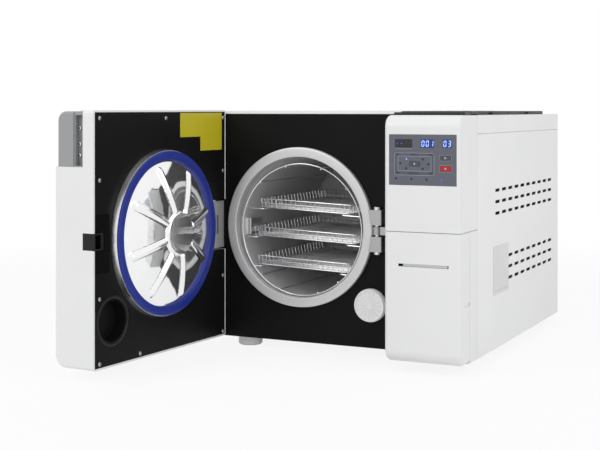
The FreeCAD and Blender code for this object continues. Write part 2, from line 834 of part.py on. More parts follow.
def door_shell():
    outer = box(door_left, door_right, -door_front, door_plane, door_z0, door_z1)
    outer = rounded(outer, door_corner, lambda edge: runs_along_x(edge) and near(mid(edge).y, -door_front))
    outer = rounded(outer, door_edge, lambda edge: not runs_along_x(edge) and mid(edge).y < door_plane - 1
                    and (near(mid(edge).x, door_left) or near(mid(edge).x, door_right))
                    and not runs_along_y(edge))
    inner = box(door_left + door_wall, door_right - door_wall, -door_front + door_wall, door_plane + 1,
                door_z0 + door_wall, door_z1 - door_wall)
    inner = rounded(inner, door_corner - door_wall,
                    lambda edge: runs_along_x(edge) and near(mid(edge).y, -door_front + door_wall))
    shell = outer.cut(inner)
    blocks = []
    half = screw_block / 2
    for x, z in screw_places():
        left = door_left + door_wall if x < door_left + screw_block * 2 else x - half
        right = door_right - door_wall if x > door_right - screw_block * 2 else x + half
        low = door_z0 + door_wall if z < door_z0 + screw_block * 2 else z - half
        high = door_z1 - door_wall if z > door_z1 - screw_block * 2 else z + half
        tip = door_plane - screw_length - screw_spare
        block = box(left, right, tip - screw_spare, door_plane - sheet, low, high)
        blocks.append(block.cut(along_y(screw_radius + screw_clearance, x, z, tip, 0)))
    window = hinge_window(hinge_y - hinge_window_depth, door_plane + 1, door_left + door_wall + 1)
    cuts = [window, handle_space(), striker_space()]
    return shell.cut(cuts).fuse(blocks).removeSplitter()


def door_inner_panel():
    plate = box(door_left + door_wall, door_right - door_wall, door_plane - sheet, door_plane,
                door_z0 + door_wall, door_z1 - door_wall)
    cup_back = door_plane - pocket_depth
    cup = turned(path([(0, cup_back), (pocket_radius, cup_back), (pocket_radius, door_plane),
                       (0, door_plane)]), pocket_x, pocket_z)
    bottom, mouth = pocket_radius - pocket_wall - pocket_taper, pocket_radius - pocket_wall
    hollow = turned(path([(0, cup_back + pocket_wall), (bottom, cup_back + pocket_wall),
                          (mouth, door_plane + 1), (0, door_plane + 1)]), pocket_x, pocket_z)
    cuts = [hollow, along_y(lid_rim_radius + lid_clearance, 0, axis_z, cup_back, door_plane + 1),
            hinge_window(cup_back, door_plane + 1, hinge_x + hinge_window_reach), striker_space()]
    cuts += [along_y(screw_radius + screw_clearance, x, z, door_plane - sheet - 1, door_plane + 1)
             for x, z in screw_places()]
    return joined([plate, cup]).cut(cuts)


def screw(x, z, face_y, length):
    head = along_y(screw_head_radius, x, z, face_y, face_y + screw_head_height)
    return joined([head, along_y(screw_radius, x, z, face_y - length, face_y)])


def door_panel_screws():
    return Part.makeCompound([screw(x, z, door_plane, screw_length) for x, z in screw_places()])


def lid_outline():
    """Half section of the pressed lid: domed field with its centre boss, seal seat and outer rim."""
    plane, seat = door_plane, door_plane + seal_seat
    groove, hub = seal_outer_radius + seal_fit, seal_inner_radius - seal_fit
    boss_y, back = plane + boss_proud, lid_dome_radius - lid_sheet
    dome = dished(boss_radius, lid_dome_edge, lid_dome_radius, dome_centre + lid_dome_radius)
    under = dished(boss_radius, lid_dome_edge, back, dome_centre + back)
    boss = [(0, boss_y), (boss_face_radius, boss_y)]
    rim = [(hub, plane + lid_dome_foot), (hub, seat), (groove, seat), (groove, plane + lid_rim_proud),
           (lid_rim_radius, plane + lid_rim_proud), (lid_rim_radius, seat - lid_sheet),
           (lid_dome_edge, seat - lid_sheet)]
    boss_back = [(boss_radius - lid_sheet, under[0][1]), (boss_face_radius - lid_sheet, boss_y - lid_sheet),
                 (0, boss_y - lid_sheet)]
    return path(boss + dome + rim + under[::-1] + boss_back)


def lid():
    """Pressed disc with raised ribs that run from the boss towards the seal."""
    disc = turned(lid_outline(), 0, axis_z)
    half, top = rib_width / 2, rib_top_width / 2
    start_y = dome_centre + math.sqrt(lid_dome_radius ** 2 - rib_inner ** 2)
    end_y = dome_centre + math.sqrt(lid_dome_radius ** 2 - rib_outer ** 2)
    root_y, crest_y = start_y - lid_sheet, start_y + rib_height
    profile = [vec(rib_inner, root_y, -half), vec(rib_inner, start_y, -half), vec(rib_inner, crest_y, -top),
               vec(rib_inner, crest_y, top), vec(rib_inner, start_y, half), vec(rib_inner, root_y, half)]
    along = vec(rib_outer - rib_inner, end_y - start_y, 0)
    bar = Part.Face(Part.makePolygon(profile + profile[:1])).extrude(along)
    ribs = []
    for index in range(rib_count):
        rib = bar.copy()
        rib.rotate(vec(0, 0, 0), vec(0, 1, 0), -(rib_turn_deg + index * 360 / rib_count))
        rib.translate(vec(0, 0, axis_z))
        ribs.append(rib)
    return disc.multiFuse(ribs)


def lid_seal():
    y0, y1 = door_plane + seal_seat, door_plane + seal_proud
    inner, outer = seal_inner_radius, seal_outer_radius
    return turned(path([(inner, y0), (outer, y0), (outer, y1 - seal_chamfer), (outer - seal_chamfer, y1),
                        (inner + seal_chamfer, y1), (inner, y1 - seal_chamfer)]), 0, axis_z)


def door_beam():
    """Cross-beam from the door's knuckle to the striker, with the stud that carries the lid."""
    z0, z1 = axis_z - beam_height / 2, axis_z + beam_height / 2
    front = hinge_y - knuckle_radius
    bar_x1 = door_right - striker_length
    bar = box(hinge_x, bar_x1, front, front + beam_thickness, z0, z1)
    knuckle = upright(knuckle_radius, hinge_x, hinge_y, z0, z1)
    stud = along_y(stud_radius, 0, axis_z, front + beam_thickness, door_plane + boss_proud - lid_sheet)
    spreader = along_y(stud_radius * stud_spread, 0, axis_z, front + beam_thickness,
                       front + beam_thickness + spreader_thickness)
    bore = upright(pin_radius + pin_clearance, hinge_x, hinge_y, z0 - 1, z1 + 1)
    return joined([bar, knuckle, spreader, stud]).cut(bore)


def latch_striker():
    """Steel box let into the door's corner; its mouth has a lip that the claw pulls on."""
    x0, x1 = door_right - striker_length, door_right
    y0, y1 = door_plane - striker_depth, door_plane + striker_proud
    case = box(x0, x1, y0, y1, striker_z0, striker_z1)
    room = box(x0 + striker_wall, x1 - striker_wall, y0 + striker_wall, y1 - striker_wall,
               striker_z0 + striker_wall, striker_z1 - striker_wall)
    mouth = box(x0 + striker_wall + striker_lip, x1 - striker_wall, y1 - striker_wall - 1, y1 + 1,
                striker_z0 + striker_wall, striker_z1 - striker_wall)
    return case.cut([room, mouth])


def door_handle():
    x0, x1 = door_right - handle_length, door_right - handle_inset_edge
    y0, y1 = -door_front + handle_inset_outer, -door_front + handle_inner_face
    z0, z1 = door_z1 - handle_height, door_z1 - handle_inset_edge
    body = box(x0, x1, y0, y1, z0, z1)
    body = rounded(body, door_corner - handle_inset_outer,
                   lambda edge: runs_along_x(edge) and near(mid(edge).y, y0) and near(mid(edge).z, z1))
    body = rounded(body, door_edge - 1,
                   lambda edge: is_upright(edge) and near(mid(edge).y, y0) and near(mid(edge).x, x1))
    channel = box(x1 - channel_depth, x1 + 1, y1 - channel_wall / 2 - channel_width, y1 - channel_wall / 2,
                  z0 + channel_wall / 2, z1 - channel_wall * 1.5)
    step = box(x1 - channel_step_depth, x1 + 1, y1 - channel_wall / 2 - channel_width - channel_step_width,
               y1 + 1, z0 + channel_wall / 2, z1 + 1)
    screw_y = y1 - handle_screw_y
    holes = [rod(screw_radius + screw_clearance, vec(x1 - channel_depth - screw_length, screw_y, z),
                 vec(x1, screw_y, z)) for z in handle_screw_heights()]
    return body.cut([channel, step] + holes)




def handle_screw_heights():
    return [axis_z + offset for offset in handle_screw_offsets]


def handle_screws():
    x = door_right - handle_inset_edge - channel_depth
    y = -door_front + handle_inner_face - handle_screw_y
    screws = []
    for z in handle_screw_heights():
        head = rod(screw_head_radius, vec(x, y, z), vec(x + handle_screw_head, y, z))
        shank = rod(screw_radius, vec(x - screw_length, y, z), vec(x, y, z))
        screws.append(joined([head, shank]))
    return Part.makeCompound(screws)


# Column

def column_block(z0, z1, back, beside_panel, round_bottom, round_top, inset=0.0):
    """Front moulding of the column between two heights, rounded in front."""
    left, right, front = column_left + inset, cab_right - inset, -door_front + inset
    block = box(left, right, front, -back, z0, z1)
    if beside_panel:
        beside = box(cab_right - sheet - panel_gap, right + 1, -side_front_reach - seam_gap, 1,
                     z0 - 1, z1 + 1)
        block = block.cut(beside)
    corner = column_corner - inset
    if round_top:
        block = rounded(block, corner, lambda edge: runs_along_x(edge) and near(mid(edge).y, front)
                        and near(mid(edge).z, z1))
    if round_bottom:
        block = rounded(block, corner, lambda edge: runs_along_x(edge) and near(mid(edge).y, front)
                        and near(mid(edge).z, z0))
    if column_edge > inset:
        block = rounded(block, column_edge - inset,
                        lambda edge: not runs_along_x(edge) and not runs_along_y(edge)
                        and edge.BoundBox.YMax < front + corner + 0.5
                        and (near(mid(edge).x, left) or near(mid(edge).x, right)))
    return block


def control_cover():
    z0, z1 = part_z + part_gap / 2, top_z
    outer = column_block(z0, z1, 0, True, False, True)
    inner = column_block(z0 - 1, z1 - column_wall, 0, False, False, True, column_wall)
    back_room = box(column_left + column_wall, cab_right - column_wall, -column_corner, 1,
                    z0 - 1, z1 - column_wall)
    lap = box(column_left - 1, cab_right + 1, -side_front_reach - seam_gap, 1,
              z1 - sheet - panel_gap, z1 + 1)
    recess = box(panel_left - panel_edge, panel_right + panel_edge, -door_front - 1,
                 -door_front + panel_thickness, base_z + panel_bottom - panel_edge,
                 base_z + panel_top + panel_edge)
    cuts = [inner, back_room, lap, recess]
    grow = key_clearance + key_flange
    for x0, x1, low, high in (centre_key, start_key, stop_key):
        cuts.append(box(x0 - grow, x1 + grow, -door_front, -door_front + 2 * column_wall,
                        base_z + low - grow, base_z + high + grow))
    for x0, x1 in display_boxes:
        cuts.append(box(x0, x1, -door_front, -door_front + 2 * column_wall,
                        base_z + display_top - display_height, base_z + display_top))
    return outer.cut(cuts)


def control_panel():
    plate = box(panel_left, panel_right, -door_front, -door_front + panel_thickness, base_z + panel_bottom,
                base_z + panel_top)
    cuts = []
    for x0, x1, low, high in (centre_key, start_key, stop_key):
        cuts.append(box(x0 - key_clearance, x1 + key_clearance, -door_front - 1,
                        -door_front + panel_thickness + 1, base_z + low - key_clearance,
                        base_z + high + key_clearance))
    for x0, x1 in display_boxes:
        cuts.append(box(x0, x1, -door_front - 1, -door_front + panel_thickness + 1,
                        base_z + display_top - display_height, base_z + display_top))
    return plate.cut(cuts)


def display_windows():
    front = -door_front + display_sunk
    panes = [box(x0, x1, front, front + display_thickness, base_z + display_top - display_height,
                 base_z + display_top) for x0, x1 in display_boxes]
    return Part.makeCompound(panes)


board_y = -door_front + column_wall + board_gap


def membrane_key(place):
    """Key plate with a flange behind the membrane and a stem that meets the board's switch."""
    x0, x1, low, high = place
    z0, z1 = base_z + low, base_z + high
    face = -door_front - key_proud
    plate = box(x0, x1, face, -door_front + panel_thickness + key_flange_thickness, z0, z1)
    plate = rounded(plate, key_round, lambda edge: near(edge.BoundBox.YMax, face))
    flange_y = -door_front + panel_thickness + key_clearance
    lap = key_flange - key_clearance
    flange = box(x0 - lap, x1 + lap, flange_y, flange_y + key_flange_thickness, z0 - lap, z1 + lap)
    stem_end = board_y - key_travel - key_clearance
    stem = along_y(key_stem / 2, (x0 + x1) / 2, (z0 + z1) / 2, flange_y, stem_end)
    return joined([plate, flange, stem])


def control_board():
    low, high = base_z + panel_bottom, base_z + panel_top
    board = box(panel_left, panel_right, board_y, board_y + board_thickness, low, high)
    posts = [along_y(board_post_radius, x, z, -door_front + column_wall, board_y)
             for x in (panel_left + board_post_inset, panel_right - board_post_inset)
             for z in (low + board_post_inset, high - board_post_inset)]
    return joined([board] + posts)


def service_cover():
    """Lower cover of the column: front, right side and bottom, hung at its front left edge."""
    z0, z1 = column_z0, part_z - part_gap / 2
    outer = column_block(z0, z1, service_back, False, True, False)
    inner = column_block(z0 + column_wall, z1 - column_wall, service_back, False, True, False, column_wall)
    back_room = box(column_left + column_wall, cab_right - column_wall, -service_back - column_corner,
                    -service_back + 1, z0 + column_wall, z1 - column_wall)
    slot_z = base_z + paper_slot_height
    paper = box(paper_slot_left, paper_slot_right, -door_front - 1, -door_front + column_wall + 1,
                slot_z - paper_slot_gap / 2, slot_z + paper_slot_gap / 2)
    notch = box(cab_right - column_wall / 2, cab_right + 1, -notch_front, -service_back + 1,
                base_z + notch_bottom, base_z + notch_bottom + notch_height)
    cheek_room = box(column_left - 1, column_left + column_wall + panel_gap, -door_front - 1, 0,
                     z0 - 1, z1 + 1)
    edge_space = upright(service_round, service_x, service_y, z0 - 2, z1 + 2)
    behind_edge = box(column_left - 2, cab_right, service_y + service_return, 0, z0 - 3, z1 + 3)
    cheek_room = cheek_room.cut(edge_space.cut(behind_edge))
    shell = outer.cut([inner, back_room, paper, notch, cheek_room])
    posts = []
    for low in service_post_bottoms():
        high = low + service_post_height
        web = box(service_x - service_post_radius, service_x + service_post_radius,
                  -door_front + column_wall - 1, service_y, low, high)
        posts.append(joined([upright(service_post_radius, service_x, service_y, low, high), web]))
    pin_hole = upright(service_pin_radius + pin_clearance, service_x, service_y, z0 + column_corner / 2,
                       z1 - column_wall)
    return joined([shell] + [post.common(outer) for post in posts]).cut(pin_hole)


def service_arm_bottoms():
    return [column_z0 + service_arm_low, part_z - part_gap / 2 - service_arm_high]


def service_post_bottoms():
    """The cover's posts stand on the arms, so that it hangs on its pins."""
    return [low + service_arm_thickness + panel_gap for low in service_arm_bottoms()]


service_x = column_left + service_pin_inset
service_y = -door_front + service_pin_inset


def service_pins():
    """Two short pins that carry the service cover in the arms of the column chassis."""
    height = service_arm_thickness + panel_gap + service_post_height - 1
    return Part.makeCompound([upright(service_pin_radius, service_x, service_y, low, low + height)
                              for low in service_arm_bottoms()])


def column_chassis():
    """White frame behind the service cover: left cheek, open box and two curved hinge arms."""
    z0, z1 = column_z0, part_z - part_gap / 2
    front, rear = -service_back + service_gap, -side_front_reach - seam_gap
    side_gap = cab_right - sheet - panel_gap
    frame = joined([box(column_left, cab_right, front, rear, z0, z1),
                    box(column_left, side_gap, rear, 0, z0, z1)])
    room = box(column_left + sheet, cab_right - 2 * sheet - panel_gap, front - 1, rear - sheet,
               z0 + sheet, z1 - sheet)
    behind = box(column_left + sheet, side_gap - sheet, rear, 1, z0 + sheet, z1 - sheet)
    cheek = column_block(z0, z1, 0, False, True, False).common(
        box(column_left, column_left + column_wall, -door_front, 0, z0, z1))
    hinge_room = service_round + service_round_gap
    cheek = cheek.cut(upright(hinge_room, service_x, service_y, z0 - 1, z1 + 1))
    return joined([frame.cut([room, behind]), cheek] + [service_arm(low) for low in service_arm_bottoms()])


def service_arm(low):
    """Flat arm that reaches round the cover's hinge edge to its pin."""
    high = low + service_arm_thickness
    hinge_room = service_round + service_round_gap
    root = box(column_left + column_wall / 2, service_x + service_arm_reach, service_y + service_pin_radius,
               service_y + service_arm_reach + service_arm_width, low, high)
    root = root.cut(upright(hinge_room, service_x, service_y, low - 1, high + 1))
    half = service_arm_width / 2
    neck = box(service_x, service_x + service_arm_reach, service_y - half, service_y + half, low, high)
    neck.rotate(vec(service_x, service_y, 0), vec(0, 0, 1), service_arm_deg)
    eye = upright(service_arm_radius, service_x, service_y, low, high)
    bore = upright(service_pin_radius, service_x, service_y, low - 1, high + 1)
    return joined([root, neck, eye]).cut(bore)


def drain_taps():
    taps = []
    back = -side_front_reach - seam_gap - sheet
    z = base_z + tap_height
    for x in (cab_right - tap_inset - tap_pitch, cab_right - tap_inset):
        body = along_y(tap_radius, x, z, back - tap_length, back)
        spout = along_y(spout_radius, x, z, back - tap_length - spout_length, back - tap_length)
        taps.append(joined([body, spout]))
    return Part.makeCompound(taps)


def printer():
    """Strip printer on the back of the service cover, behind the paper slot."""
    x0, x1 = paper_slot_left - printer_margin, paper_slot_right + printer_margin
    z = base_z + paper_slot_height
    front = -door_front + column_wall
    case = box(x0, x1, front, front + printer_depth, z - printer_below, z + printer_above)
    throat = box(paper_slot_left, paper_slot_right, -door_front, front + throat_depth,
                 z - paper_slot_gap / 2, z + paper_slot_gap / 2)
    return case.cut(throat)


# Top lids and tank

def water_tank():
    z0, z1 = top_z - tank_depth, top_z
    outer = box(tank_left - tank_wall, tank_right + tank_wall, tank_front - tank_wall, tank_rear + tank_wall,
                z0, z1)
    rim = box(tank_left - tank_rim, tank_right + tank_rim, tank_front - tank_rim, tank_rear + tank_rim, z1,
              z1 + tank_rim_thickness)
    half_divider = tank_wall / 2
    low, high = z0 + tank_wall, z1 + tank_rim_thickness + 1
    rooms = [box(tank_left, tank_right, tank_front, tank_lid_split - half_divider, low, high),
             box(tank_left, tank_right, tank_lid_split + half_divider, tank_rear, low, high)]
    return joined([outer, rim]).cut(rooms)


def tank_lid(y0, y1, room_y0, room_y1):
    """Flat dark lid with a skirt that drops into its compartment of the tank."""
    z0 = top_z + tank_rim_thickness
    plate = box(tank_left - tank_rim, tank_right + tank_rim, y0, y1, z0, z0 + lid_thickness)
    plate = rounded(plate, lid_edge, lambda edge: near(edge.BoundBox.ZMin, z0 + lid_thickness))
    middle = (y0 + y1) / 2
    grip = box(tank_right + tank_rim - grip_depth, tank_right + tank_rim + 1, middle - grip_length / 2,
               middle + grip_length / 2, z0 - 1, z0 + lid_thickness / 2)
    gap, wall = lid_skirt_gap, lid_skirt_gap + lid_skirt_wall
    plug = box(tank_left + gap, tank_right - gap, room_y0 + gap, room_y1 - gap, z0 - lid_skirt_depth, z0)
    hollow = box(tank_left + wall, tank_right - wall, room_y0 + wall, room_y1 - wall,
                 z0 - lid_skirt_depth - 1, z0)
    return joined([plate, plug]).cut([hollow, grip])


def column_cap():
    plate = box(tank_left - tank_rim, tank_right + tank_rim, -cap_front, -cap_back,
                top_z, top_z + lid_thickness)
    return rounded(plate, lid_edge, lambda edge: near(edge.BoundBox.ZMin, top_z + lid_thickness))


# Filter

def air_filter():
    """White disc with radial webs in its recessed face, and a neck through the front panel."""
    y0 = -filter_proud
    z = base_z + filter_height
    edge = filter_radius - filter_chamfer
    outline = [(0, y0), (edge, y0), (filter_radius, y0 + filter_chamfer), (filter_radius, 0), (0, 0)]
    body = turned(path(outline), filter_x, z)
    recess = along_y(filter_radius - filter_rim, filter_x, z, y0 - 1, y0 + filter_web_recess)
    web_front, web_back = y0 + filter_web_sunk, y0 + filter_web_recess
    webs = []
    for index in range(filter_spoke_count):
        web = box(filter_hub_radius / 2, filter_radius - filter_rim, web_front, web_back,
                  -filter_spoke_width / 2, filter_spoke_width / 2)
        web.rotate(vec(0, 0, 0), vec(0, 1, 0), index * 360 / filter_spoke_count)
        web.translate(vec(filter_x, 0, z))
        webs.append(web)
    hub = along_y(filter_hub_radius, filter_x, z, web_front, web_back)
    neck = along_y(filter_hub_radius, filter_x, z, 0, filter_neck_length)
    return body.cut(recess).multiFuse(webs + [hub, neck]).removeSplitter()


# Rear fittings and inner units

rear_face = cab_depth - sheet
rear_inner = cab_depth - 2 * sheet
inlet_z0 = base_z + inlet_bottom
inlet_z1 = inlet_z0 + inlet_height + rocker_height + inlet_spare
rocker_z = inlet_z1 - rocker_top_wall - rocker_height / 2
rocker_axis_y = rear_face - rocker_sunk
fan_z = base_z + fan_height


def mains_inlet():
    """Snap-in inlet with three contacts and an opening for the rocker."""
    half = inlet_width / 2
    bezel = box(inlet_x - half - inlet_lip, inlet_x + half + inlet_lip, rear_face, rear_face + inlet_bezel,
                inlet_z0 - inlet_lip, inlet_z1 + inlet_lip)
    case = box(inlet_x - half, inlet_x + half, rear_inner - inlet_depth, rear_face, inlet_z0, inlet_z1)
    front = rear_face + inlet_bezel + 1
    socket_z = inlet_z0 + socket_sill
    socket = box(inlet_x - socket_width / 2, inlet_x + socket_width / 2, rear_face - socket_depth, front,
                 socket_z, socket_z + socket_height)
    well = box(inlet_x - rocker_width / 2, inlet_x + rocker_width / 2, rear_face - rocker_well_depth, front,
               rocker_z - rocker_height / 2, rocker_z + rocker_height / 2)
    places = [(-contact_spread, contact_low), (contact_spread, contact_low), (0, contact_high)]
    contacts = [box(inlet_x + x - contact_width / 2, inlet_x + x + contact_width / 2,
                    rear_face - socket_depth - contact_root, rear_face - contact_recess,
                    inlet_z0 + z - contact_height / 2, inlet_z0 + z + contact_height / 2) for x, z in places]
    return joined([bezel, case]).cut([socket, well]).fuse(contacts).removeSplitter()


def rocker_pin():
    return rod(rocker_pin_radius, vec(inlet_x - rocker_width / 2, rocker_axis_y, rocker_z),
               vec(inlet_x + rocker_width / 2, rocker_axis_y, rocker_z))


def rocker_switch():
    """Rocker tipped to its off side, on a cross pin."""
    half = rocker_height / 2 - rocker_end_gap
    root_y, end_y = rocker_axis_y - rocker_root, rear_face + rocker_end_proud
    outline = [vec(0, root_y, rocker_z - rocker_root), vec(0, root_y, rocker_z + rocker_root),
               vec(0, end_y, rocker_z + half), vec(0, rear_face + rocker_proud, rocker_z),
               vec(0, end_y, rocker_z - half)]
    face = Part.Face(Part.makePolygon(outline + outline[:1]))
    body = face.extrude(vec(rocker_width - 2 * rocker_gap, 0, 0))
    body.translate(vec(inlet_x - rocker_width / 2 + rocker_gap, 0, 0))
    bore = rod(rocker_pin_radius + pin_clearance, vec(inlet_x - rocker_width, rocker_axis_y, rocker_z),
               vec(inlet_x + rocker_width, rocker_axis_y, rocker_z))
    body = body.cut(bore)
    body.rotate(vec(inlet_x, rocker_axis_y, rocker_z), vec(1, 0, 0), rocker_tilt_deg)
    return body


def safety_valve():
    """Spring-loaded valve on the vessel's end, with its outlet through the rear panel."""
    crown = vessel_depth + dome_rise(end_dome_radius, vessel_radius)
    foot_drop = dome_rise(end_dome_radius, safety_stem_radius)
    stem = along_y(safety_stem_radius, 0, axis_z, crown - foot_drop, rear_face + safety_cap_length)
    body_y = crown + safety_body_start
    body = along_y(safety_body_radius, 0, axis_z, body_y, body_y + safety_body_length)
    cap = along_y(safety_cap_radius, 0, axis_z, rear_face, rear_face + safety_cap_length)
    return joined([stem, body, cap]).cut(chamber_vessel())


def fan_frame():
    """Square frame with a round duct and one cross arm that carries the rotor's axle."""
    half = fan_size / 2
    y0, y1 = rear_inner - fan_depth, rear_inner
    frame = box(fan_x - half, fan_x + half, y0, y1, fan_z - half, fan_z + half)
    frame = frame.cut(along_y(fan_blade_radius + fan_duct_gap, fan_x, fan_z, y0 - 1, y1 + 1))
    reach, arm_y = fan_blade_radius + fan_arm_lap, y0 + fan_arm_thickness
    arm = box(fan_x - reach, fan_x + reach, y0, arm_y, fan_z - fan_arm_width / 2, fan_z + fan_arm_width / 2)
    disc = along_y(fan_hub_radius, fan_x, fan_z, y0, arm_y)
    axle = along_y(fan_axle_radius, fan_x, fan_z, arm_y, arm_y + fan_axle_length)
    return joined([frame, arm, disc, axle])


def fan_rotor():
    """Hub with pitched blades on the fan's axle."""
    y0 = rear_inner - fan_depth + fan_arm_thickness + 1
    hub = along_y(fan_hub_radius, fan_x, fan_z, y0, y0 + fan_blade_depth + 2)
    half, reach = fan_blade_depth / 2, fan_blade_depth / 2 + fan_blade_spare
    thin = fan_blade_thickness / 2
    blades = []
    for index in range(fan_blade_count):
        blade = box(fan_hub_radius - fan_hub_lap, fan_blade_radius, -thin, thin, -reach, reach)
        blade.rotate(vec(0, 0, 0), vec(1, 0, 0), fan_blade_deg)
        blade = blade.common(box(0, fan_blade_radius, -half, half, -fan_blade_radius, fan_blade_radius))
        blade.rotate(vec(0, 0, 0), vec(0, 1, 0), index * 360 / fan_blade_count)
        blade.translate(vec(fan_x, y0 + half + 1, fan_z))
        blades.append(blade)
    bore = along_y(fan_axle_radius + pin_clearance, fan_x, fan_z, y0 - 1, y0 + fan_blade_depth + 3)
    return hub.multiFuse(blades).removeSplitter().cut(bore)


def condenser():
    """Finned block in front of the fan."""
    half = fan_size / 2
    y1 = rear_inner - fan_depth
    y0 = y1 - condenser_depth
    core = box(fan_x - half, fan_x + half, y0, y1, fan_z - half, fan_z + half)
    pitch = (fan_size - condenser_wall * 2) / condenser_slots
    low, high = fan_z - half + condenser_wall, fan_z + half - condenser_wall
    gaps = []
    for index in range(condenser_slots):
        x = fan_x - half + condenser_wall + (index + 0.5) * pitch
        gaps.append(box(x - condenser_slot / 2, x + condenser_slot / 2, y0 + condenser_wall, y1 + 1,
                        low, high))
    return core.cut(gaps)


def pump(y, foot_half, foot_height, motor_radius, motor_front, motor_length):
    """Foot plate with a round motor that lies along the cabinet."""
    foot = box(pump_x - foot_half[0], pump_x + foot_half[0], y - foot_half[1], y + foot_half[1],
               floor_z, floor_z + foot_height)
    axis = floor_z + foot_height + motor_radius - pump_sink
    motor = along_y(motor_radius, pump_x, axis, y + motor_front, y + motor_front + motor_length)
    return joined([foot, motor])


def vacuum_pump():
    y = cab_depth - vacuum_pump_rear
    motor = pump(y, vacuum_foot_half, vacuum_foot_height, vacuum_motor_radius, vacuum_motor_front,
                 vacuum_motor_length)
    head_bottom = floor_z + vacuum_foot_height
    head = box(pump_x - vacuum_head_half, pump_x + vacuum_head_half, y - vacuum_foot_half[1],
               y + vacuum_motor_front + vacuum_head_lap, head_bottom, head_bottom + vacuum_head_height)
    return joined([motor, head])


def water_pump():
    return pump(cab_depth * water_pump_share, water_foot_half, water_foot_height, water_motor_radius,
                water_motor_front, water_motor_length)


def steam_generator():
    """Small upright boiler in the rear left corner, below the vessel."""
    x = -cab_left + sheet + generator_gap + generator_flange_radius
    y = cab_depth - generator_rear
    flange_z = floor_z + generator_flange_height
    body = upright(generator_radius, x, y, floor_z, floor_z + generator_height)
    flange = upright(generator_flange_radius, x, y, flange_z, flange_z + generator_flange_thickness)
    port = upright(generator_port_radius, x, y, floor_z + generator_height,
                   floor_z + generator_height + generator_port_height)
    return joined([body, flange, port])


def valve_block():
    """Manifold with a row of solenoid coils."""
    y = cab_depth * valve_block_share
    half_x, half_y = valve_block_half
    top = floor_z + valve_block_height
    block = box(pump_x - half_x, pump_x + half_x, y - half_y, y + half_y, floor_z, top)
    coils = []
    for index in range(valve_coil_count):
        x = pump_x + (index - (valve_coil_count - 1) / 2) * valve_coil_pitch
        coils.append(box(x - valve_coil_width / 2, x + valve_coil_width / 2, y - valve_coil_depth / 2,
                         y + valve_coil_depth / 2, top, top + valve_coil_height))
    return joined([block] + coils)


def add(name, shape):
    nodes[name] = shape


add("base_pan", base_pan())
add("feet", feet())
add("side_panel_left", side_panel(-cab_left, -cab_left + sheet, 0, 0, slot_lower_columns))
add("side_panel_right", side_panel(cab_right, cab_right - sheet, -side_front_reach, slot_columns,
                                   slot_lower_columns))
add("front_panel", front_panel())
add("rear_panel", rear_panel())
add("top_cover", top_cover())
add("chamber_vessel", chamber_vessel())
add("chamber_flange", chamber_flange())
add("heater_band", ring(vessel_radius, heater_radius, heater_front, heater_front + heater_length))
add("insulation_jacket", ring(heater_radius, jacket_radius, jacket_front, jacket_front + jacket_length))
add("vessel_saddles", vessel_saddles())
add("probe_guard", probe_guard())
add("rack_frame", rack_frame())
for tray_level, tray_name in enumerate(("tray_upper", "tray_middle", "tray_lower")):
    add(tray_name, wire_tray(tray_level))
add("hinge_arm", hinge_arm())
add("hinge_pin", hinge_pin())
add("lock_lugs", lock_lugs())
add("lock_pin", lock_pin())
add("lock_hook", lock_hook())
add("air_filter", air_filter())
for make in (door_shell, door_inner_panel, door_panel_screws, door_beam, lid, lid_seal,
             latch_striker, door_handle, handle_screws):
    add(make.__name__, swung(make()))
add("control_cover", control_cover())
add("control_panel", control_panel())
add("display_windows", display_windows())
add("control_board", control_board())
add("key_centre", membrane_key(centre_key))
add("key_start", membrane_key(start_key))
add("key_stop", membrane_key(stop_key))
add("service_cover", service_cover())
add("service_pins", service_pins())
add("column_chassis", column_chassis())
add("drain_taps", drain_taps())
add("printer", printer())
add("column_cap", column_cap())
add("water_tank", water_tank())
add("tank_lid_clean", tank_lid(-tank_lid_front, tank_lid_split - tank_lid_gap / 2, tank_front,
                               tank_lid_split - tank_wall / 2))
add("tank_lid_used", tank_lid(tank_lid_split + tank_lid_gap / 2, tank_rear + tank_rim,
                              tank_lid_split + tank_wall / 2, tank_rear))
add("mains_inlet", mains_inlet())
add("rocker_pin", rocker_pin())
add("rocker_switch", rocker_switch())
add("safety_valve", safety_valve())
add("fan_frame", fan_frame())
add("fan_rotor", fan_rotor())
add("condenser", condenser())
add("vacuum_pump", vacuum_pump())
add("water_pump", water_pump())
add("steam_generator", steam_generator())
add("valve_block", valve_block())

whole = FreeCAD.BoundBox()
for shape in nodes.values():
    whole.add(shape.optimalBoundingBox(False))
shift = vec(-whole.Center.x, -whole.Center.y, -whole.ZMin)
os.makedirs("parts", exist_ok=True)
for name, shape in nodes.items():
    shape.translate(shift)
    shape.exportStep("parts/" + name + ".step")
    state = "valid" if shape.isValid() else "NOT VALID"
    print(name, state, len(shape.Solids), "solids", round(shape.Volume / 1000, 1), "cm3")
print("size", round(whole.XLength, 2), round(whole.YLength, 2), round(whole.ZLength, 2))
print("shift", round(shift.x, 3), round(shift.y, 3), round(shift.z, 3))
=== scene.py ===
# %% [markdown]
# # A bench-top steam autoclave, dressed for the camera
# The solids of the machine come from the CAD side as a fixed frame. This lesson adds what a solid
# model can't show well: the wire rack, the mirror of the pressed lid, the printed keypad, and a
# finish for every surface. Each step says what the real piece is, how it could be made in Blender,
# and why it is made the way it is here.

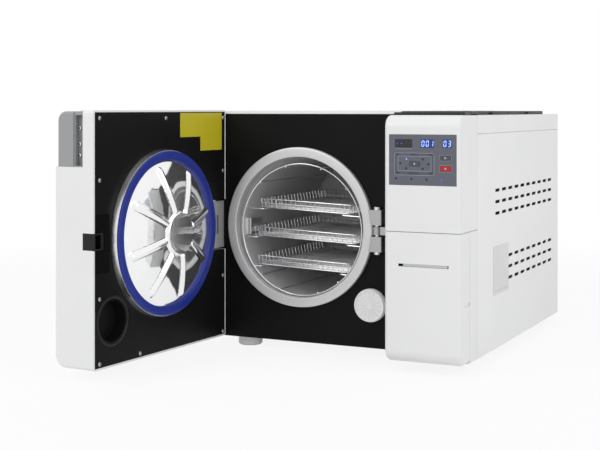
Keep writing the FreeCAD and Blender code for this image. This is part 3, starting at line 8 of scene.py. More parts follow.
# %% Load the frame
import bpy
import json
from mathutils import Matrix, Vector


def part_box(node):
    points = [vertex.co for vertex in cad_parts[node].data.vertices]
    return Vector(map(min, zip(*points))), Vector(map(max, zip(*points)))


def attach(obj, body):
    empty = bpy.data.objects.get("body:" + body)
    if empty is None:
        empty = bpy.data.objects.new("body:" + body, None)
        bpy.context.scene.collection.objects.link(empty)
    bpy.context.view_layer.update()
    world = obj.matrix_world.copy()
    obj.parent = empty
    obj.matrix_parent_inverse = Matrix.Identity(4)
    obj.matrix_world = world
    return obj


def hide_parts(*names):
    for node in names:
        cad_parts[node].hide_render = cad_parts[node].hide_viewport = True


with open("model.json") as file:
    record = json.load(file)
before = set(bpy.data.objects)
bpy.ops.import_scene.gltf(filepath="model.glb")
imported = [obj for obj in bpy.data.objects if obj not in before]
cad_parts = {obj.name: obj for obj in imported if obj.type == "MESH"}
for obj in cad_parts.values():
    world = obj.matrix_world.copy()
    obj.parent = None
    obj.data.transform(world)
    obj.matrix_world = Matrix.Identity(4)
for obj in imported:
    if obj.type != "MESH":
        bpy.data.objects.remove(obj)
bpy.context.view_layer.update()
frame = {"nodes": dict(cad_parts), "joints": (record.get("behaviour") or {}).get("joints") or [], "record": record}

# %% Modules and the unit of length
import json
import math
import bmesh
import bpy
from mathutils import Matrix, Vector

mm = 0.001
scene = bpy.context.scene
slot_names = [material["slot"] for material in frame["record"]["materials"]]
film_slot = next(name for name in slot_names if name.startswith("membrane"))
print("slots in the record:", len(slot_names), "film is", film_slot)

# %% [markdown]
# ## Two rulers
# The machine has two natural places to measure from. One is the axis of the pressure chamber with
# the black front panel as its plane. The other is the hinge pin of the door, because everything on
# the door swings about it. Both could be typed in as numbers, but reading them from the solids
# keeps each piece on its carrier when a solid moves.

# %% Measure from the chamber axis and the front panel
flange_low, flange_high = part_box("chamber_flange")
axis_x = (flange_low.x + flange_high.x) / 2
axis_z = (flange_low.z + flange_high.z) / 2
face_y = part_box("front_panel")[0].y
base = 17.0  # heights read from the photograph start at the machine's lower edge, this far up


def spot(x, y, z):
    """A point in millimetres right of the chamber axis, behind the front panel and above ground."""
    return Vector((axis_x + x * mm, face_y + y * mm, z * mm))


print("chamber axis at", round(axis_x, 4), round(axis_z, 4), "front panel at", round(face_y, 4))

# %% Measure along the open door from its hinge pin
hinge = next(joint for joint in frame["joints"] if joint["name"] == "door_hinge")
pin = Vector(hinge["pos_m"])
opened = math.radians(hinge["range_deg"][1])
along_door = Vector((math.cos(opened), -math.sin(opened), 0))
out_of_door = Vector((math.sin(opened), math.cos(opened), 0))
door_face = 9.6  # from the pin's axis out to the face of the inner panel


def door_spot(s, n, z):
    """A point on the open door: along it from the pin, out of its inner panel, above the floor."""
    foot = Vector((pin.x, pin.y, z * mm))
    return foot + along_door * s * mm + out_of_door * (door_face + n) * mm


def face_frame(origin, right):
    """Where a flat piece stands: its X runs along right, its Y runs up and its Z points out."""
    up = Vector((0, 0, 1))
    out = right.cross(up).normalized()
    return Matrix.Translation(origin) @ Matrix((right.normalized(), up, out)).transposed().to_4x4()


rightwards = Vector((1, 0, 0))
door_frame = face_frame(door_spot(0, 0, 0), -along_door)
side_frame = face_frame(Vector((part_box("side_panel_right")[1].x, face_y, 0)), Vector((0, 1, 0)))
lid_centre = 161.2  # from the pin along the door
print("door inner face starts at", door_spot(0, 0, 0))

# %% [markdown]
# ## The camera
# The photograph was taken from the right of the machine's front, level, with the horizon above the
# middle of the picture. A level camera keeps all upright edges upright, and a vertical shift moves
# the picture instead of tilting the camera, as a product photographer does.

# %% Place the camera
lens = bpy.data.cameras.new("product_lens")
lens.sensor_width = 36
lens.lens = 74.9
lens.shift_y = -0.1927
lens.clip_end = 50
camera = bpy.data.objects.new("product_camera", lens)
camera.location = (0.9247, -2.0845, 0.4315)
camera.rotation_euler = (math.radians(90), 0, math.radians(25.6))
scene.collection.objects.link(camera)
scene.camera = camera
scene.view_settings.view_transform = "Standard"
print("camera at", tuple(round(v, 3) for v in camera.location), "lens", lens.lens)

# %% [markdown]
# ## Node helpers
# A material in Blender is a small graph. Four short helpers save much typing: one makes a node, one
# fills in its sockets, one joins nodes, and one makes a named group with its inputs and outputs.

# %% Make and join nodes with a short call
def add_node(tree, kind, **settings):
    node = tree.nodes.new(kind)
    for name, value in settings.items():
        setattr(node, name, value)
    return node


def fill(node, **values):
    """Set input sockets by name; a space in a socket's name is an underscore here."""
    for name, value in values.items():
        node.inputs[name.replace("_", " ")].default_value = value
    return node


def chain(tree, *joins):
    """Each join is (node, its output, next node, its input)."""
    for giver, output, taker, socket in joins:
        tree.links.new(giver.outputs[output], taker.inputs[socket])


def new_group(name, inputs, outputs):
    tree = bpy.data.node_groups.new(name, "ShaderNodeTree")
    for socket, kind, value in inputs:
        made = tree.interface.new_socket(socket, in_out="INPUT", socket_type="NodeSocket" + kind)
        made.default_value = value
    for socket, kind in outputs:
        tree.interface.new_socket(socket, in_out="OUTPUT", socket_type="NodeSocket" + kind)
    return tree, add_node(tree, "NodeGroupInput"), add_node(tree, "NodeGroupOutput")


# %% [markdown]
# ## Shared effects
# No real finish is one flat value. Paint drifts a little in tone, gloss changes where hands and
# cloths have been, and every surface has some grain. These effects are node groups, built once and
# placed in each material with their own numbers.

# %% Group: tone drift
mix_a, mix_b, mix_result = 6, 7, 2  # the colour sockets of a Mix node
tone_drift, entry, leave = new_group(
    "tone_drift",
    [("Colour", "Color", (0.8, 0.8, 0.8, 1)), ("Shade", "Color", (0.7, 0.7, 0.7, 1)),
     ("Scale", "Float", 12.0), ("Amount", "Float", 0.5)],
    [("Colour", "Color")])
place = add_node(tone_drift, "ShaderNodeTexCoord")
cloud = fill(add_node(tone_drift, "ShaderNodeTexNoise"), Detail=5.0, Roughness=0.6)
spread = fill(add_node(tone_drift, "ShaderNodeMapRange"), From_Min=0.35, From_Max=0.7)
amount = add_node(tone_drift, "ShaderNodeMath", operation="MULTIPLY")
blend = add_node(tone_drift, "ShaderNodeMix", data_type="RGBA")
chain(tone_drift, (place, "Object", cloud, "Vector"), (entry, "Scale", cloud, "Scale"),
      (cloud, "Fac", spread, "Value"), (spread, "Result", amount, 0), (entry, "Amount", amount, 1),
      (amount, 0, blend, 0), (entry, "Colour", blend, mix_a), (entry, "Shade", blend, mix_b),
      (blend, mix_result, leave, "Colour"))
print("group", tone_drift.name, "ready")

# %% Group: gloss drift
gloss_drift, entry, leave = new_group(
    "gloss_drift",
    [("Low", "Float", 0.3), ("High", "Float", 0.4), ("Scale", "Float", 18.0)],
    [("Roughness", "Float")])
place = add_node(gloss_drift, "ShaderNodeTexCoord")
cloud = fill(add_node(gloss_drift, "ShaderNodeTexNoise"), Detail=4.0, Distortion=0.4)
spread = fill(add_node(gloss_drift, "ShaderNodeMapRange"), From_Min=0.3, From_Max=0.7)
chain(gloss_drift, (place, "Object", cloud, "Vector"), (entry, "Scale", cloud, "Scale"),
      (cloud, "Fac", spread, "Value"), (entry, "Low", spread, "To Min"),
      (entry, "High", spread, "To Max"), (spread, "Result", leave, "Roughness"))
print("group", gloss_drift.name, "ready")

# %% Group: skin grain
skin_grain, entry, leave = new_group(
    "skin_grain", [("Scale", "Float", 900.0), ("Pitting", "Float", 0.3)], [("Height", "Float")])
place = add_node(skin_grain, "ShaderNodeTexCoord")
ripple = fill(add_node(skin_grain, "ShaderNodeTexNoise"), Detail=2.0, Roughness=0.5)
dots = add_node(skin_grain, "ShaderNodeTexVoronoi", feature="SMOOTH_F1")
sunk = add_node(skin_grain, "ShaderNodeMath", operation="MULTIPLY")
total = add_node(skin_grain, "ShaderNodeMath", operation="ADD")
for texture in (ripple, dots):
    chain(skin_grain, (place, "Object", texture, "Vector"), (entry, "Scale", texture, "Scale"))
chain(skin_grain, (dots, "Distance", sunk, 0), (entry, "Pitting", sunk, 1),
      (ripple, "Fac", total, 0), (sunk, 0, total, 1), (total, 0, leave, "Height"))
print("group", skin_grain.name, "ready")

# %% Group: brush marks
brush_marks, entry, leave = new_group(
    "brush_marks",
    [("Stretch", "Vector", (1, 1, 60)), ("Scale", "Float", 30.0), ("Low", "Float", 0.2),
     ("High", "Float", 0.35)],
    [("Roughness", "Float"), ("Height", "Float")])
place = add_node(brush_marks, "ShaderNodeTexCoord")
pulled = add_node(brush_marks, "ShaderNodeVectorMath", operation="MULTIPLY")
lines = fill(add_node(brush_marks, "ShaderNodeTexNoise"), Detail=6.0, Roughness=0.7)
spread = fill(add_node(brush_marks, "ShaderNodeMapRange"), From_Min=0.3, From_Max=0.7)
chain(brush_marks, (place, "Object", pulled, 0), (entry, "Stretch", pulled, 1),
      (pulled, 0, lines, "Vector"), (entry, "Scale", lines, "Scale"),
      (lines, "Fac", spread, "Value"), (entry, "Low", spread, "To Min"),
      (entry, "High", spread, "To Max"), (spread, "Result", leave, "Roughness"),
      (lines, "Fac", leave, "Height"))
print("group", brush_marks.name, "ready")

# %% Group: lathe marks, rings about the piece's own axis
lathe_marks, entry, leave = new_group(
    "lathe_marks",
    [("Rings per metre", "Float", 1500.0), ("Low", "Float", 0.15), ("High", "Float", 0.3)],
    [("Roughness", "Float"), ("Height", "Float")])
place = add_node(lathe_marks, "ShaderNodeTexCoord")
parts = add_node(lathe_marks, "ShaderNodeSeparateXYZ")
flat = add_node(lathe_marks, "ShaderNodeCombineXYZ")
radius = add_node(lathe_marks, "ShaderNodeVectorMath", operation="LENGTH")
rings = add_node(lathe_marks, "ShaderNodeMath", operation="MULTIPLY")
cut = fill(add_node(lathe_marks, "ShaderNodeTexNoise", noise_dimensions="1D"), Scale=1.0,
           Detail=4.0)
spread = fill(add_node(lathe_marks, "ShaderNodeMapRange"), From_Min=0.3, From_Max=0.7)
chain(lathe_marks, (place, "Object", parts, 0), (parts, "X", flat, "X"), (parts, "Y", flat, "Y"),
      (flat, 0, radius, 0), (radius, "Value", rings, 0), (entry, "Rings per metre", rings, 1),
      (rings, 0, cut, "W"), (cut, "Fac", spread, "Value"), (entry, "Low", spread, "To Min"),
      (entry, "High", spread, "To Max"), (spread, "Result", leave, "Roughness"),
      (cut, "Fac", leave, "Height"))
print("group", lathe_marks.name, "ready")

# %% [markdown]
# ## One recipe for moulded and painted surfaces
# Most surfaces differ only in colour, gloss and grain. The recipe below places three groups around
# one Principled shader. The soft edge comes from a Bevel node, which rounds the shading of a
# solid's sharp edges without touching the mesh. What is the same all over is typed into the shader
# itself.

# %% The recipe
def place_group(tree, group, **values):
    node = add_node(tree, "ShaderNodeGroup", node_tree=group)
    return fill(node, **values)


def grey(value):
    return value, value, value


def bumped(tree, height, distance, strength, edge):
    """A Bump node that takes a height and feeds the shader's normal, over a rounded edge."""
    bump = fill(add_node(tree, "ShaderNodeBump"), Distance=distance, Strength=strength)
    tree.links.new(height, bump.inputs["Height"])
    if edge > 0:
        soft = fill(add_node(tree, "ShaderNodeBevel", samples=4), Radius=edge)
        tree.links.new(soft.outputs["Normal"], bump.inputs["Normal"])
    tree.links.new(bump.outputs["Normal"], tree.nodes["Principled BSDF"].inputs["Normal"])


def start(name, colour, shade, drift, drift_scale):
    material = bpy.data.materials.new(name)
    material.use_nodes = True
    tree = material.node_tree
    tone = place_group(tree, tone_drift, Colour=(*colour, 1), Shade=(*shade, 1), Scale=drift_scale,
                       Amount=drift)
    tree.links.new(tone.outputs["Colour"], tree.nodes["Principled BSDF"].inputs["Base Color"])
    return material, tree, tree.nodes["Principled BSDF"]


def drifting_gloss(tree, low, high, scale):
    sheen = place_group(tree, gloss_drift, Low=low, High=high, Scale=scale)
    tree.links.new(sheen.outputs["Roughness"], tree.nodes["Principled BSDF"].inputs["Roughness"])


def coated(name, colour, shade, gloss, grain, depth, edge=0.0008, drift=0.5, drift_scale=9.0,
           shine=0.5):
    """grain is the number of pits per metre; depth and edge are lengths in metres."""
    material, tree, shader = start(name, colour, shade, drift, drift_scale)
    fill(shader, Specular_IOR_Level=shine)
    drifting_gloss(tree, *gloss, 14.0)
    skin = place_group(tree, skin_grain, Scale=grain, Pitting=0.3)
    bumped(tree, skin.outputs["Height"], depth, 0.6, edge)
    return material


# %% [markdown]
# ## Painted sheet and moulded plastic
# The cabinet sheets are powder coated: plain white, satin, with the faint orange peel of baked
# paint. The column mouldings are plastic, a touch smoother and lighter. The door's inner panel and
# the front panel are black with little shine, because a black that reflects like glass turns grey
# in a white studio. That shine is one number of the shader, so it's set there and not by a
# texture.

# %% White and black coats
white_paint = coated("white_powder_coat", grey(0.88), grey(0.84), (0.38, 0.5), 700, 0.00006)
white_plastic = coated("white_moulded_plastic", (0.83, 0.83, 0.828), (0.8, 0.8, 0.798), (0.3, 0.4),
                       1500, 0.00002)
black_paint = coated("black_coat", (0.006, 0.006, 0.006), (0.009, 0.009, 0.0092), (0.34, 0.46),
                     1200, 0.00003, shine=0.08)
dark_plastic = coated("dark_plastic", (0.02, 0.0205, 0.022), (0.03, 0.031, 0.033), (0.42, 0.55),
                      1600, 0.00003, shine=0.3)
grey_plastic = coated("grey_plastic", (0.33, 0.332, 0.335), (0.3, 0.302, 0.306), (0.38, 0.5), 1600,
                      0.00003)
filter_plastic = coated("filter_white", (0.95, 0.95, 0.945), (0.92, 0.92, 0.912), (0.35, 0.45),
                        1500, 0.00002, 0.0003)
striker_black = coated("striker_black", grey(0.01), grey(0.016), (0.26, 0.36), 1200, 0.00003,
                       shine=0.22)
cast_grey = coated("cast_grey", (0.34, 0.34, 0.342), (0.29, 0.29, 0.292), (0.34, 0.44), 900,
                   0.00005)
print("coats ready")

# %% [markdown]
# ## Rubber, film and board
# The lid's seal is cast silicone, a deep saturated blue with a soft shine. The keypad is a printed
# film in slate grey. Its keys are part of the same film, so they share its gloss and differ in ink.

# %% Soft and printed finishes
seal_blue = coated("blue_silicone", (0.009, 0.027, 0.28), (0.007, 0.02, 0.22), (0.3, 0.42), 500,
                   0.00004, 0.0005)
film_grey = coated("keypad_film", (0.108, 0.115, 0.142), (0.097, 0.104, 0.13), (0.32, 0.42), 2500,
                   0.00001, 0.0002)
key_slate = coated("key_slate", (0.058, 0.063, 0.084), (0.052, 0.057, 0.077), (0.3, 0.4), 2500,
                   0.00001, 0.0002)
key_red = coated("key_red", (0.42, 0.012, 0.016), (0.36, 0.01, 0.013), (0.3, 0.4), 2500, 0.00001,
                 0.0002)
window_black = coated("display_window", (0.006, 0.006, 0.009), (0.009, 0.009, 0.013), (0.1, 0.16),
                      2500, 0.000005, 0.0002)
board_green = coated("coated_board", (0.012, 0.09, 0.04), (0.01, 0.07, 0.03), (0.3, 0.42), 1500,
                     0.00002)
print("soft and printed finishes ready")

# %% [markdown]
# ## Steel in several states
# Brackets and sheets are brushed: fine scratches in one direction make the gloss vary in streaks.
# Turned pieces carry rings about their own axis. The pressed lid is polished to a mirror, and it
# is the slight waviness of the pressing, not scratches, that bends its reflections. Polish is
# never perfect: a little of the light is scattered, so the lid and the vessel are not fully
# metallic here. The feet of the ribs get a darker steel: painted shade along the creases.

# %% Brushed steel
def metal(name, colour, shade, stretch, low, high, depth, edge=0.0005):
    material, tree, shader = start(name, colour, shade, 0.6, 11.0)
    fill(shader, Metallic=1.0)
    marks = place_group(tree, brush_marks, Stretch=stretch, Scale=30.0, Low=low, High=high)
    tree.links.new(marks.outputs["Roughness"], shader.inputs["Roughness"])
    bumped(tree, marks.outputs["Height"], depth, 0.5, edge)
    return material


steel = metal("brushed_steel", (0.60, 0.605, 0.615), (0.5, 0.505, 0.515), (60, 1, 1), 0.26, 0.42,
              0.00003)
bright_steel = metal("bright_steel", (0.80, 0.80, 0.81), (0.7, 0.7, 0.71), (1, 40, 1), 0.12, 0.24,
                     0.00001, 0.0003)
wire_steel = metal("wire_steel", (0.7, 0.7, 0.705), (0.6, 0.6, 0.605), (1, 40, 1), 0.2, 0.34,
                   0.00001, 0.0)
satin_steel = metal("satin_steel", (0.42, 0.42, 0.425), (0.36, 0.36, 0.365), (20, 20, 1), 0.36,
                    0.48, 0.00002)
screw_steel = metal("screw_steel", (0.4, 0.4, 0.405), (0.3, 0.3, 0.305), (10, 10, 1), 0.3, 0.42,
                    0.00001, 0.0)
foil = metal("foil", (0.72, 0.73, 0.75), (0.6, 0.61, 0.63), (6, 6, 6), 0.2, 0.4, 0.0003)
brass = metal("brass", (0.72, 0.52, 0.24), (0.6, 0.42, 0.18), (1, 40, 1), 0.2, 0.34, 0.00002)
print("brushed metals ready")

# %% Turned steel for the flange
turned_steel, tree, shader = start("turned_steel", grey(0.68), grey(0.64), 0.4, 6.0)
fill(shader, Metallic=0.55)
marks = place_group(tree, lathe_marks, Low=0.44, High=0.5)
marks.inputs["Rings per metre"].default_value = 2200
tree.links.new(marks.outputs["Roughness"], shader.inputs["Roughness"])
bumped(tree, marks.outputs["Height"], 0.000006, 0.5, 0)
print("turned steel ready")

# %% Dull steel for the inside of the vessel
vessel_steel, tree, shader = start("vessel_steel", (0.86, 0.86, 0.865), (0.8, 0.8, 0.805), 0.5, 5.0)
fill(shader, Metallic=0.5)
drifting_gloss(tree, 0.42, 0.5, 5.0)
print("vessel steel ready")

# %% Mirror polish for the lid
mirror_steel, tree, shader = start("mirror_steel", (0.92, 0.922, 0.926), (0.85, 0.852, 0.858), 0.4,
                                   14.0)
fill(shader, Metallic=0.93)
drifting_gloss(tree, 0.03, 0.09, 9.0)
waves = place_group(tree, skin_grain, Scale=26.0, Pitting=0.1)
bumped(tree, waves.outputs["Height"], 0.0009, 0.5, 0)
print("mirror steel ready")

# %% Painted shade: dark steel for the feet of the ribs
crease_shade_steel, tree, shader = start("crease_shade_steel", (0.15, 0.15, 0.155), (0.07, 0.07, 0.075), 0.5,
                                   40.0)
fill(shader, Metallic=1.0)
drifting_gloss(tree, 0.12, 0.2, 20.0)
print("crease steel ready")

# %% [markdown]
# ## A finish for every solid
# Each solid names a material slot in the CAD record. A small table turns these names into the
# finishes above, so that no solid keeps the plain material it came with. A second table holds the
# few pieces that share a slot with others but look different on the machine, such as the dull lugs.

# %% Put a finish on each solid
finish_of = {"white_paint": white_paint, "white_plastic": white_plastic, "black_paint": black_paint,
             "dark_plastic": dark_plastic, "grey_plastic": grey_plastic,
             "pale_plastic": white_plastic, "steel": steel, "polished_steel": bright_steel,
             "lid_steel": mirror_steel, "seal_blue": seal_blue, film_slot: film_grey,
             "display_black": window_black, "key_grey": key_slate, "key_red": key_red,
             "board_green": board_green, "filter_white": filter_plastic, "foil": foil,
             "brass": brass}
own_finish = {"latch_striker": striker_black, "lock_lugs": satin_steel, "lock_pin": bright_steel,
              "probe_guard": bright_steel, "lock_hook": satin_steel,
              "hinge_arm": cast_grey, "water_tank": dark_plastic, "door_panel_screws": screw_steel,
              "handle_screws": bright_steel}
for subpart in frame["record"]["subparts"]:
    solid = frame["nodes"][subpart["node"]]
    finish = own_finish.get(subpart["node"], finish_of[subpart["material_slot"]])
    if not solid.material_slots:
        solid.data.materials.append(finish)
    for place in solid.material_slots:
        place.material = finish

# %% [markdown]
# ## Making pieces
# The pieces are built in mesh code. Three builders cover the machine: a lathe that turns a profile
# about an axis, wires that follow lines, and plates cut to an outline. Each makes the mesh in its
# own frame and then stands it where it belongs, so its own Z axis is its turning axis or its
# outward side. A last function gathers many small pieces into one.

# %% From points and faces to a piece on the machine
same_place = 1e-7


def shaded(mesh, smooth_angle):
    """Shade smoothly, but keep edges that turn by more than the angle crisp."""
    mesh.shade_smooth()
    mesh.set_sharp_from_angle(angle=math.radians(smooth_angle))


def stand_up(mesh, stand, finish, body):
    """Give a mesh its one finish and put it on its carrier."""
    mesh.materials.clear()
    mesh.materials.append(finish)
    piece = bpy.data.objects.new(mesh.name, mesh)
    piece.matrix_world = stand
    scene.collection.objects.link(piece)
    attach(piece, body)
    return piece


def make_piece(name, verts, faces, stand, finish, body, smooth_angle=35):
    mesh = bpy.data.meshes.new(name)
    mesh.from_pydata([tuple(v) for v in verts], [], faces)
    work = bmesh.new()
    work.from_mesh(mesh)
    bmesh.ops.remove_doubles(work, verts=work.verts, dist=same_place)
    bmesh.ops.recalc_face_normals(work, faces=work.faces)
    work.to_mesh(mesh)
    work.free()
    shaded(mesh, smooth_angle)
    return stand_up(mesh, stand, finish, body)


def says(piece):
    print("made", piece.name, "faces", len(piece.data.polygons))


# %% Round the corners of a line
def eased(points, radius, steps=5, closed=False):
    """The same line with a short curve at each corner; radius is one number or one per point."""
    count = len(points)
    radii = radius if isinstance(radius, (list, tuple)) else [radius] * count
    result = []
    for index, point in enumerate(points):
        here = Vector(point)
        ends = not closed and index in (0, count - 1)
        if ends or radii[index] <= 0:
            result.append(here)
            continue
        before, after = Vector(points[index - 1]) - here, Vector(points[(index + 1) % count]) - here
        reach = min(radii[index], before.length * 0.49, after.length * 0.49)
        start_point = here + before.normalized() * reach
        end_point = here + after.normalized() * reach
        for step in range(steps + 1):
            t = step / steps
            result.append(start_point * (1 - t) ** 2 + here * 2 * t * (1 - t) + end_point * t ** 2)
    return result


# %% Turn a profile
def circle(radius, steps):
    turns = [2 * math.pi * k / steps for k in range(steps)]
    return [(radius * math.cos(turn), radius * math.sin(turn)) for turn in turns]


def ring_faces(rows, steps, closed=False):
    """Quads between neighbouring rings of points; closed also joins the last ring to the first."""
    faces = []
    for row in range(rows if closed else rows - 1):
        here, after = row * steps, (row + 1) % rows * steps
        for step in range(steps):
            side = (step + 1) % steps
            faces.append((here + step, here + side, after + side, after + step))
    return faces


def turned(name, profile, stand, finish, body, steps=160, closed=True, smooth_angle=35):
    """profile is a list of points in millimetres: a radius, then a height."""
    verts = [(x, y, p[1] * mm) for p in profile for x, y in circle(p[0] * mm, steps)]
    faces = ring_faces(len(profile), steps, closed)
    return make_piece(name, verts, faces, stand, finish, body, smooth_angle)


# %% Draw wires along lines
def wires(name, lines, radius, stand, finish, body, sides=2):
    """lines is a list of (points, closed) in millimetres; the curve's bevel gives a round wire."""
    curve = bpy.data.curves.new(name, "CURVE")
    curve.dimensions = "3D"
    curve.bevel_depth = radius * mm
    curve.bevel_resolution = sides
    curve.use_fill_caps = True
    for points, closed in lines:
        spline = curve.splines.new("POLY")
        spline.points.add(len(points) - 1)
        for knot, point in zip(spline.points, points):
            knot.co = (point[0] * mm, point[1] * mm, point[2] * mm, 1)
        spline.use_cyclic_u = closed
    shell = bpy.data.objects.new(name + "_line", curve)
    scene.collection.objects.link(shell)
    bpy.context.view_layer.update()
    drawn = shell.evaluated_get(bpy.context.evaluated_depsgraph_get())
    mesh = bpy.data.meshes.new_from_object(drawn)
    bpy.data.objects.remove(shell)
    mesh.name = name
    mesh.shade_smooth()
    return stand_up(mesh, stand, finish, body)


# %% Cut a plate to an outline
def plate(name, outline, back, front, stand, finish, body, ease=0.0, smooth_angle=35):
    """outline in millimetres; ease rolls the front edge over."""
    shape = bmesh.new()
    ring = [shape.verts.new((p[0] * mm, p[1] * mm, back * mm)) for p in outline]
    floor = shape.faces.new(ring)
    rise = bmesh.ops.extrude_face_region(shape, geom=[floor])
    moved = [item for item in rise["geom"] if isinstance(item, bmesh.types.BMVert)]
    bmesh.ops.translate(shape, verts=moved, vec=(0, 0, (front - back) * mm))
    if ease > 0:
        top = [edge for edge in shape.edges
               if all(abs(v.co.z - front * mm) < same_place for v in edge.verts)]
        bmesh.ops.bevel(shape, geom=top, offset=ease * mm, segments=3, affect="EDGES", profile=0.5)
    bmesh.ops.recalc_face_normals(shape, faces=shape.faces)
    mesh = bpy.data.meshes.new(name)
    shape.to_mesh(mesh)
    shape.free()
    shaded(mesh, smooth_angle)
    return stand_up(mesh, stand, finish, body)


def rectangle(x0, x1, y0, y1, corner=0.0, steps=5):
    points = [(x0, y0, 0), (x1, y0, 0), (x1, y1, 0), (x0, y1, 0)]
    return eased(points, corner, steps, closed=True) if corner > 0 else points


def gather(name, pieces):
    """Several pieces become one object, as one pack of parts; each keeps its own finish."""
    keep = pieces[0]
    finishes = list(dict.fromkeys(piece.data.materials[0] for piece in pieces))
    total = bmesh.new()
    for piece in pieces:
        copy = piece.data.copy()
        for face in copy.polygons:
            face.material_index = finishes.index(piece.data.materials[0])
        copy.transform(keep.matrix_world.inverted() @ piece.matrix_world)
        total.from_mesh(copy)
        bpy.data.meshes.remove(copy)
    total.to_mesh(keep.data)
    total.free()
    keep.data.materials.clear()
    for finish in finishes:
        keep.data.materials.append(finish)
    shaded(keep.data, 35)
    for piece in pieces[1:]:
        bpy.data.objects.remove(piece)
    keep.name = name
    keep.data.name = name
    return keep


# %% [markdown]
# ## The flange and the vessel
# The mouth of the chamber is a turned steel ring with a broad flat face. Its inner and outer edges
# are broken by a small round, and these rounds catch the light as thin bright lines. A solid's
# cylinder is a many-sided prism on screen, and mirror-like steel shows every facet, so the ring and
# the vessel are turned again here with many steps and rounded corners.

# %% Turn the flange
bore, rim, neck = 125.0, 142.3, 138.0
proud, depth = 8.2, 14.0
flange_profile = eased([(bore, -depth, 0), (neck, -depth, 0), (neck, 0, 0), (rim, 0, 0),
                        (rim, proud, 0), (bore, proud, 0)], [0.2, 0.2, 0.3, 0.6, 3.0, 1.6], 5,
                       closed=True)
chamber_frame = face_frame(spot(0, 0, axis_z / mm), rightwards)
flange = turned("flange_ring", flange_profile, chamber_frame, turned_steel, "cabinet", 240)
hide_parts("chamber_flange")
says(flange)

# %% Turn the vessel
wall, reach, dome = 2.5, 350.0, 260.0


def dome_line(radius, sphere, steps=14):
    top = sphere - math.sqrt(sphere ** 2 - radius ** 2)
    angles = [math.asin(radius / sphere) * (1 - k / steps) for k in range(steps)]
    line = [(sphere * math.sin(a), -(reach + top - sphere * (1 - math.cos(a)))) for a in angles]
    return line + [(0.01, -(reach + top))]


inner = [(bore, -depth)] + dome_line(bore, dome - wall)
outer = [(bore + wall, -depth)] + dome_line(bore + wall, dome)
vessel = turned("vessel_shell", inner + outer[::-1], chamber_frame, vessel_steel, "cabinet", 200)
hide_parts("chamber_vessel")
says(vessel)

# %% [markdown]
# ## The rack
# Two wire hoops joined by long rods slide into the vessel. Rails with bent ends run between the
# hoops, and the trays rest on them. Spot welds leave a small bead where a rod meets a hoop. Wires
# could be thin cylinders, but a curve with a round bevel bends smoothly and keeps its section.

# %% Place the loose rack, rolled a little in the bore
roll = math.radians(2.3)
rack_radius, hoop_wire, rod_wire = 117.5, 1.35, 1.1
rack_front, rack_length = 4.5, 309.0
rack_height = axis_z / mm - (bore - 119.5) + 0.3
rack_stand = Matrix.Translation(spot(0, 0, rack_height)) @ Matrix.Rotation(roll, 4, "Y")
tray_widths, tray_pitch, tray_depth, tray_offset = (188.0, 211.0, 190.0), 52.0, 17.5, -2.0
tray_front, tray_length, rail_inset = 17.0, 292.0, 18.0


def hoop(radius, y, steps=96):
    return [(x, y, z) for x, z in circle(radius, steps)]


def tray_floor(level):
    return tray_offset + (1 - level) * tray_pitch - tray_depth


rear = rack_front + rack_length
rods, rails = [], []
for angle in (72.5, 43.0, 289.0, 311.0):
    for turn in (math.radians(angle), math.pi - math.radians(angle)):
        x, z = rack_radius * math.cos(turn), rack_radius * math.sin(turn)
        rods.append(([(x, rack_front, z), (x, rear, z)], False))
for level, width in enumerate(tray_widths):
    z = tray_floor(level) - rod_wire
    edge = math.sqrt(rack_radius ** 2 - z ** 2)
    for side in (-1, 1):
        x = side * (width / 2 - rail_inset)
        line = [(side * edge, rack_front, z), (x, rack_front, z), (x, rear, z),
                (side * edge, rear, z)]
        rails.append((eased(line, 6.0, 5), False))
hoop_lines = [(hoop(rack_radius, y), True) for y in (rack_front, rear)]
hoops = wires("rack_hoops", hoop_lines, hoop_wire, rack_stand, bright_steel, "cabinet", 4)
long_rods = wires("rack_rods", rods + rails, rod_wire, rack_stand, satin_steel, "cabinet", 3)
rack = gather("rack_wires", [hoops, long_rods])
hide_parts("rack_frame")
says(rack)

# %% Painted shade: a dark strip for the gap between the two plates of the probe guard
guard_low, guard_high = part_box("probe_guard")
guard_stand = face_frame(guard_low, rightwards)
guard_wide, guard_tall = (guard_high.x - guard_low.x) / mm, (guard_high.z - guard_low.z) / mm
gap_shade_outline = rectangle(guard_wide * 0.4, guard_wide * 0.58, 0.6, guard_tall - 0.6)
guard_gap_shade = plate("guard_gap_shade", gap_shade_outline, 0.01, 0.1, guard_stand, dark_plastic, "cabinet")
says(guard_gap_shade)

# %% Weld beads where the rods meet the hoops
bead_back, bead_in, bead_radius = 1.2, 2.6, 2.1
beads = []
for points, _ in rods:
    for y in (rack_front, rear):
        here = Vector(points[0])
        inward = Vector((-here.x, 0, -here.z)).normalized()
        tip = Vector((here.x, y, here.z)) + inward * bead_in
        beads.append(([(here.x, y - bead_back, here.z), tuple(tip)], False))
weld_beads = wires("weld_beads", beads, bead_radius, rack_stand, bright_steel, "cabinet", 3)
says(weld_beads)

# %% [markdown]
# ## The wire trays
# Each tray is a shallow basket. A strong wire runs round its rim and another round its foot.
# Upright teeth lean outwards along both sides, like a comb. The floor is a fine mesh, and both
# ends are a grid with large cells. All three trays come from one function, because they differ
# only in width and height.

# %% Bend one tray
tooth_pitch, cross_pitch, long_pitch = 13.6, 3.6, 4.8
rim_inset, foot_inset, first_tooth, end_inset = 1.5, 4, 6, 1.2


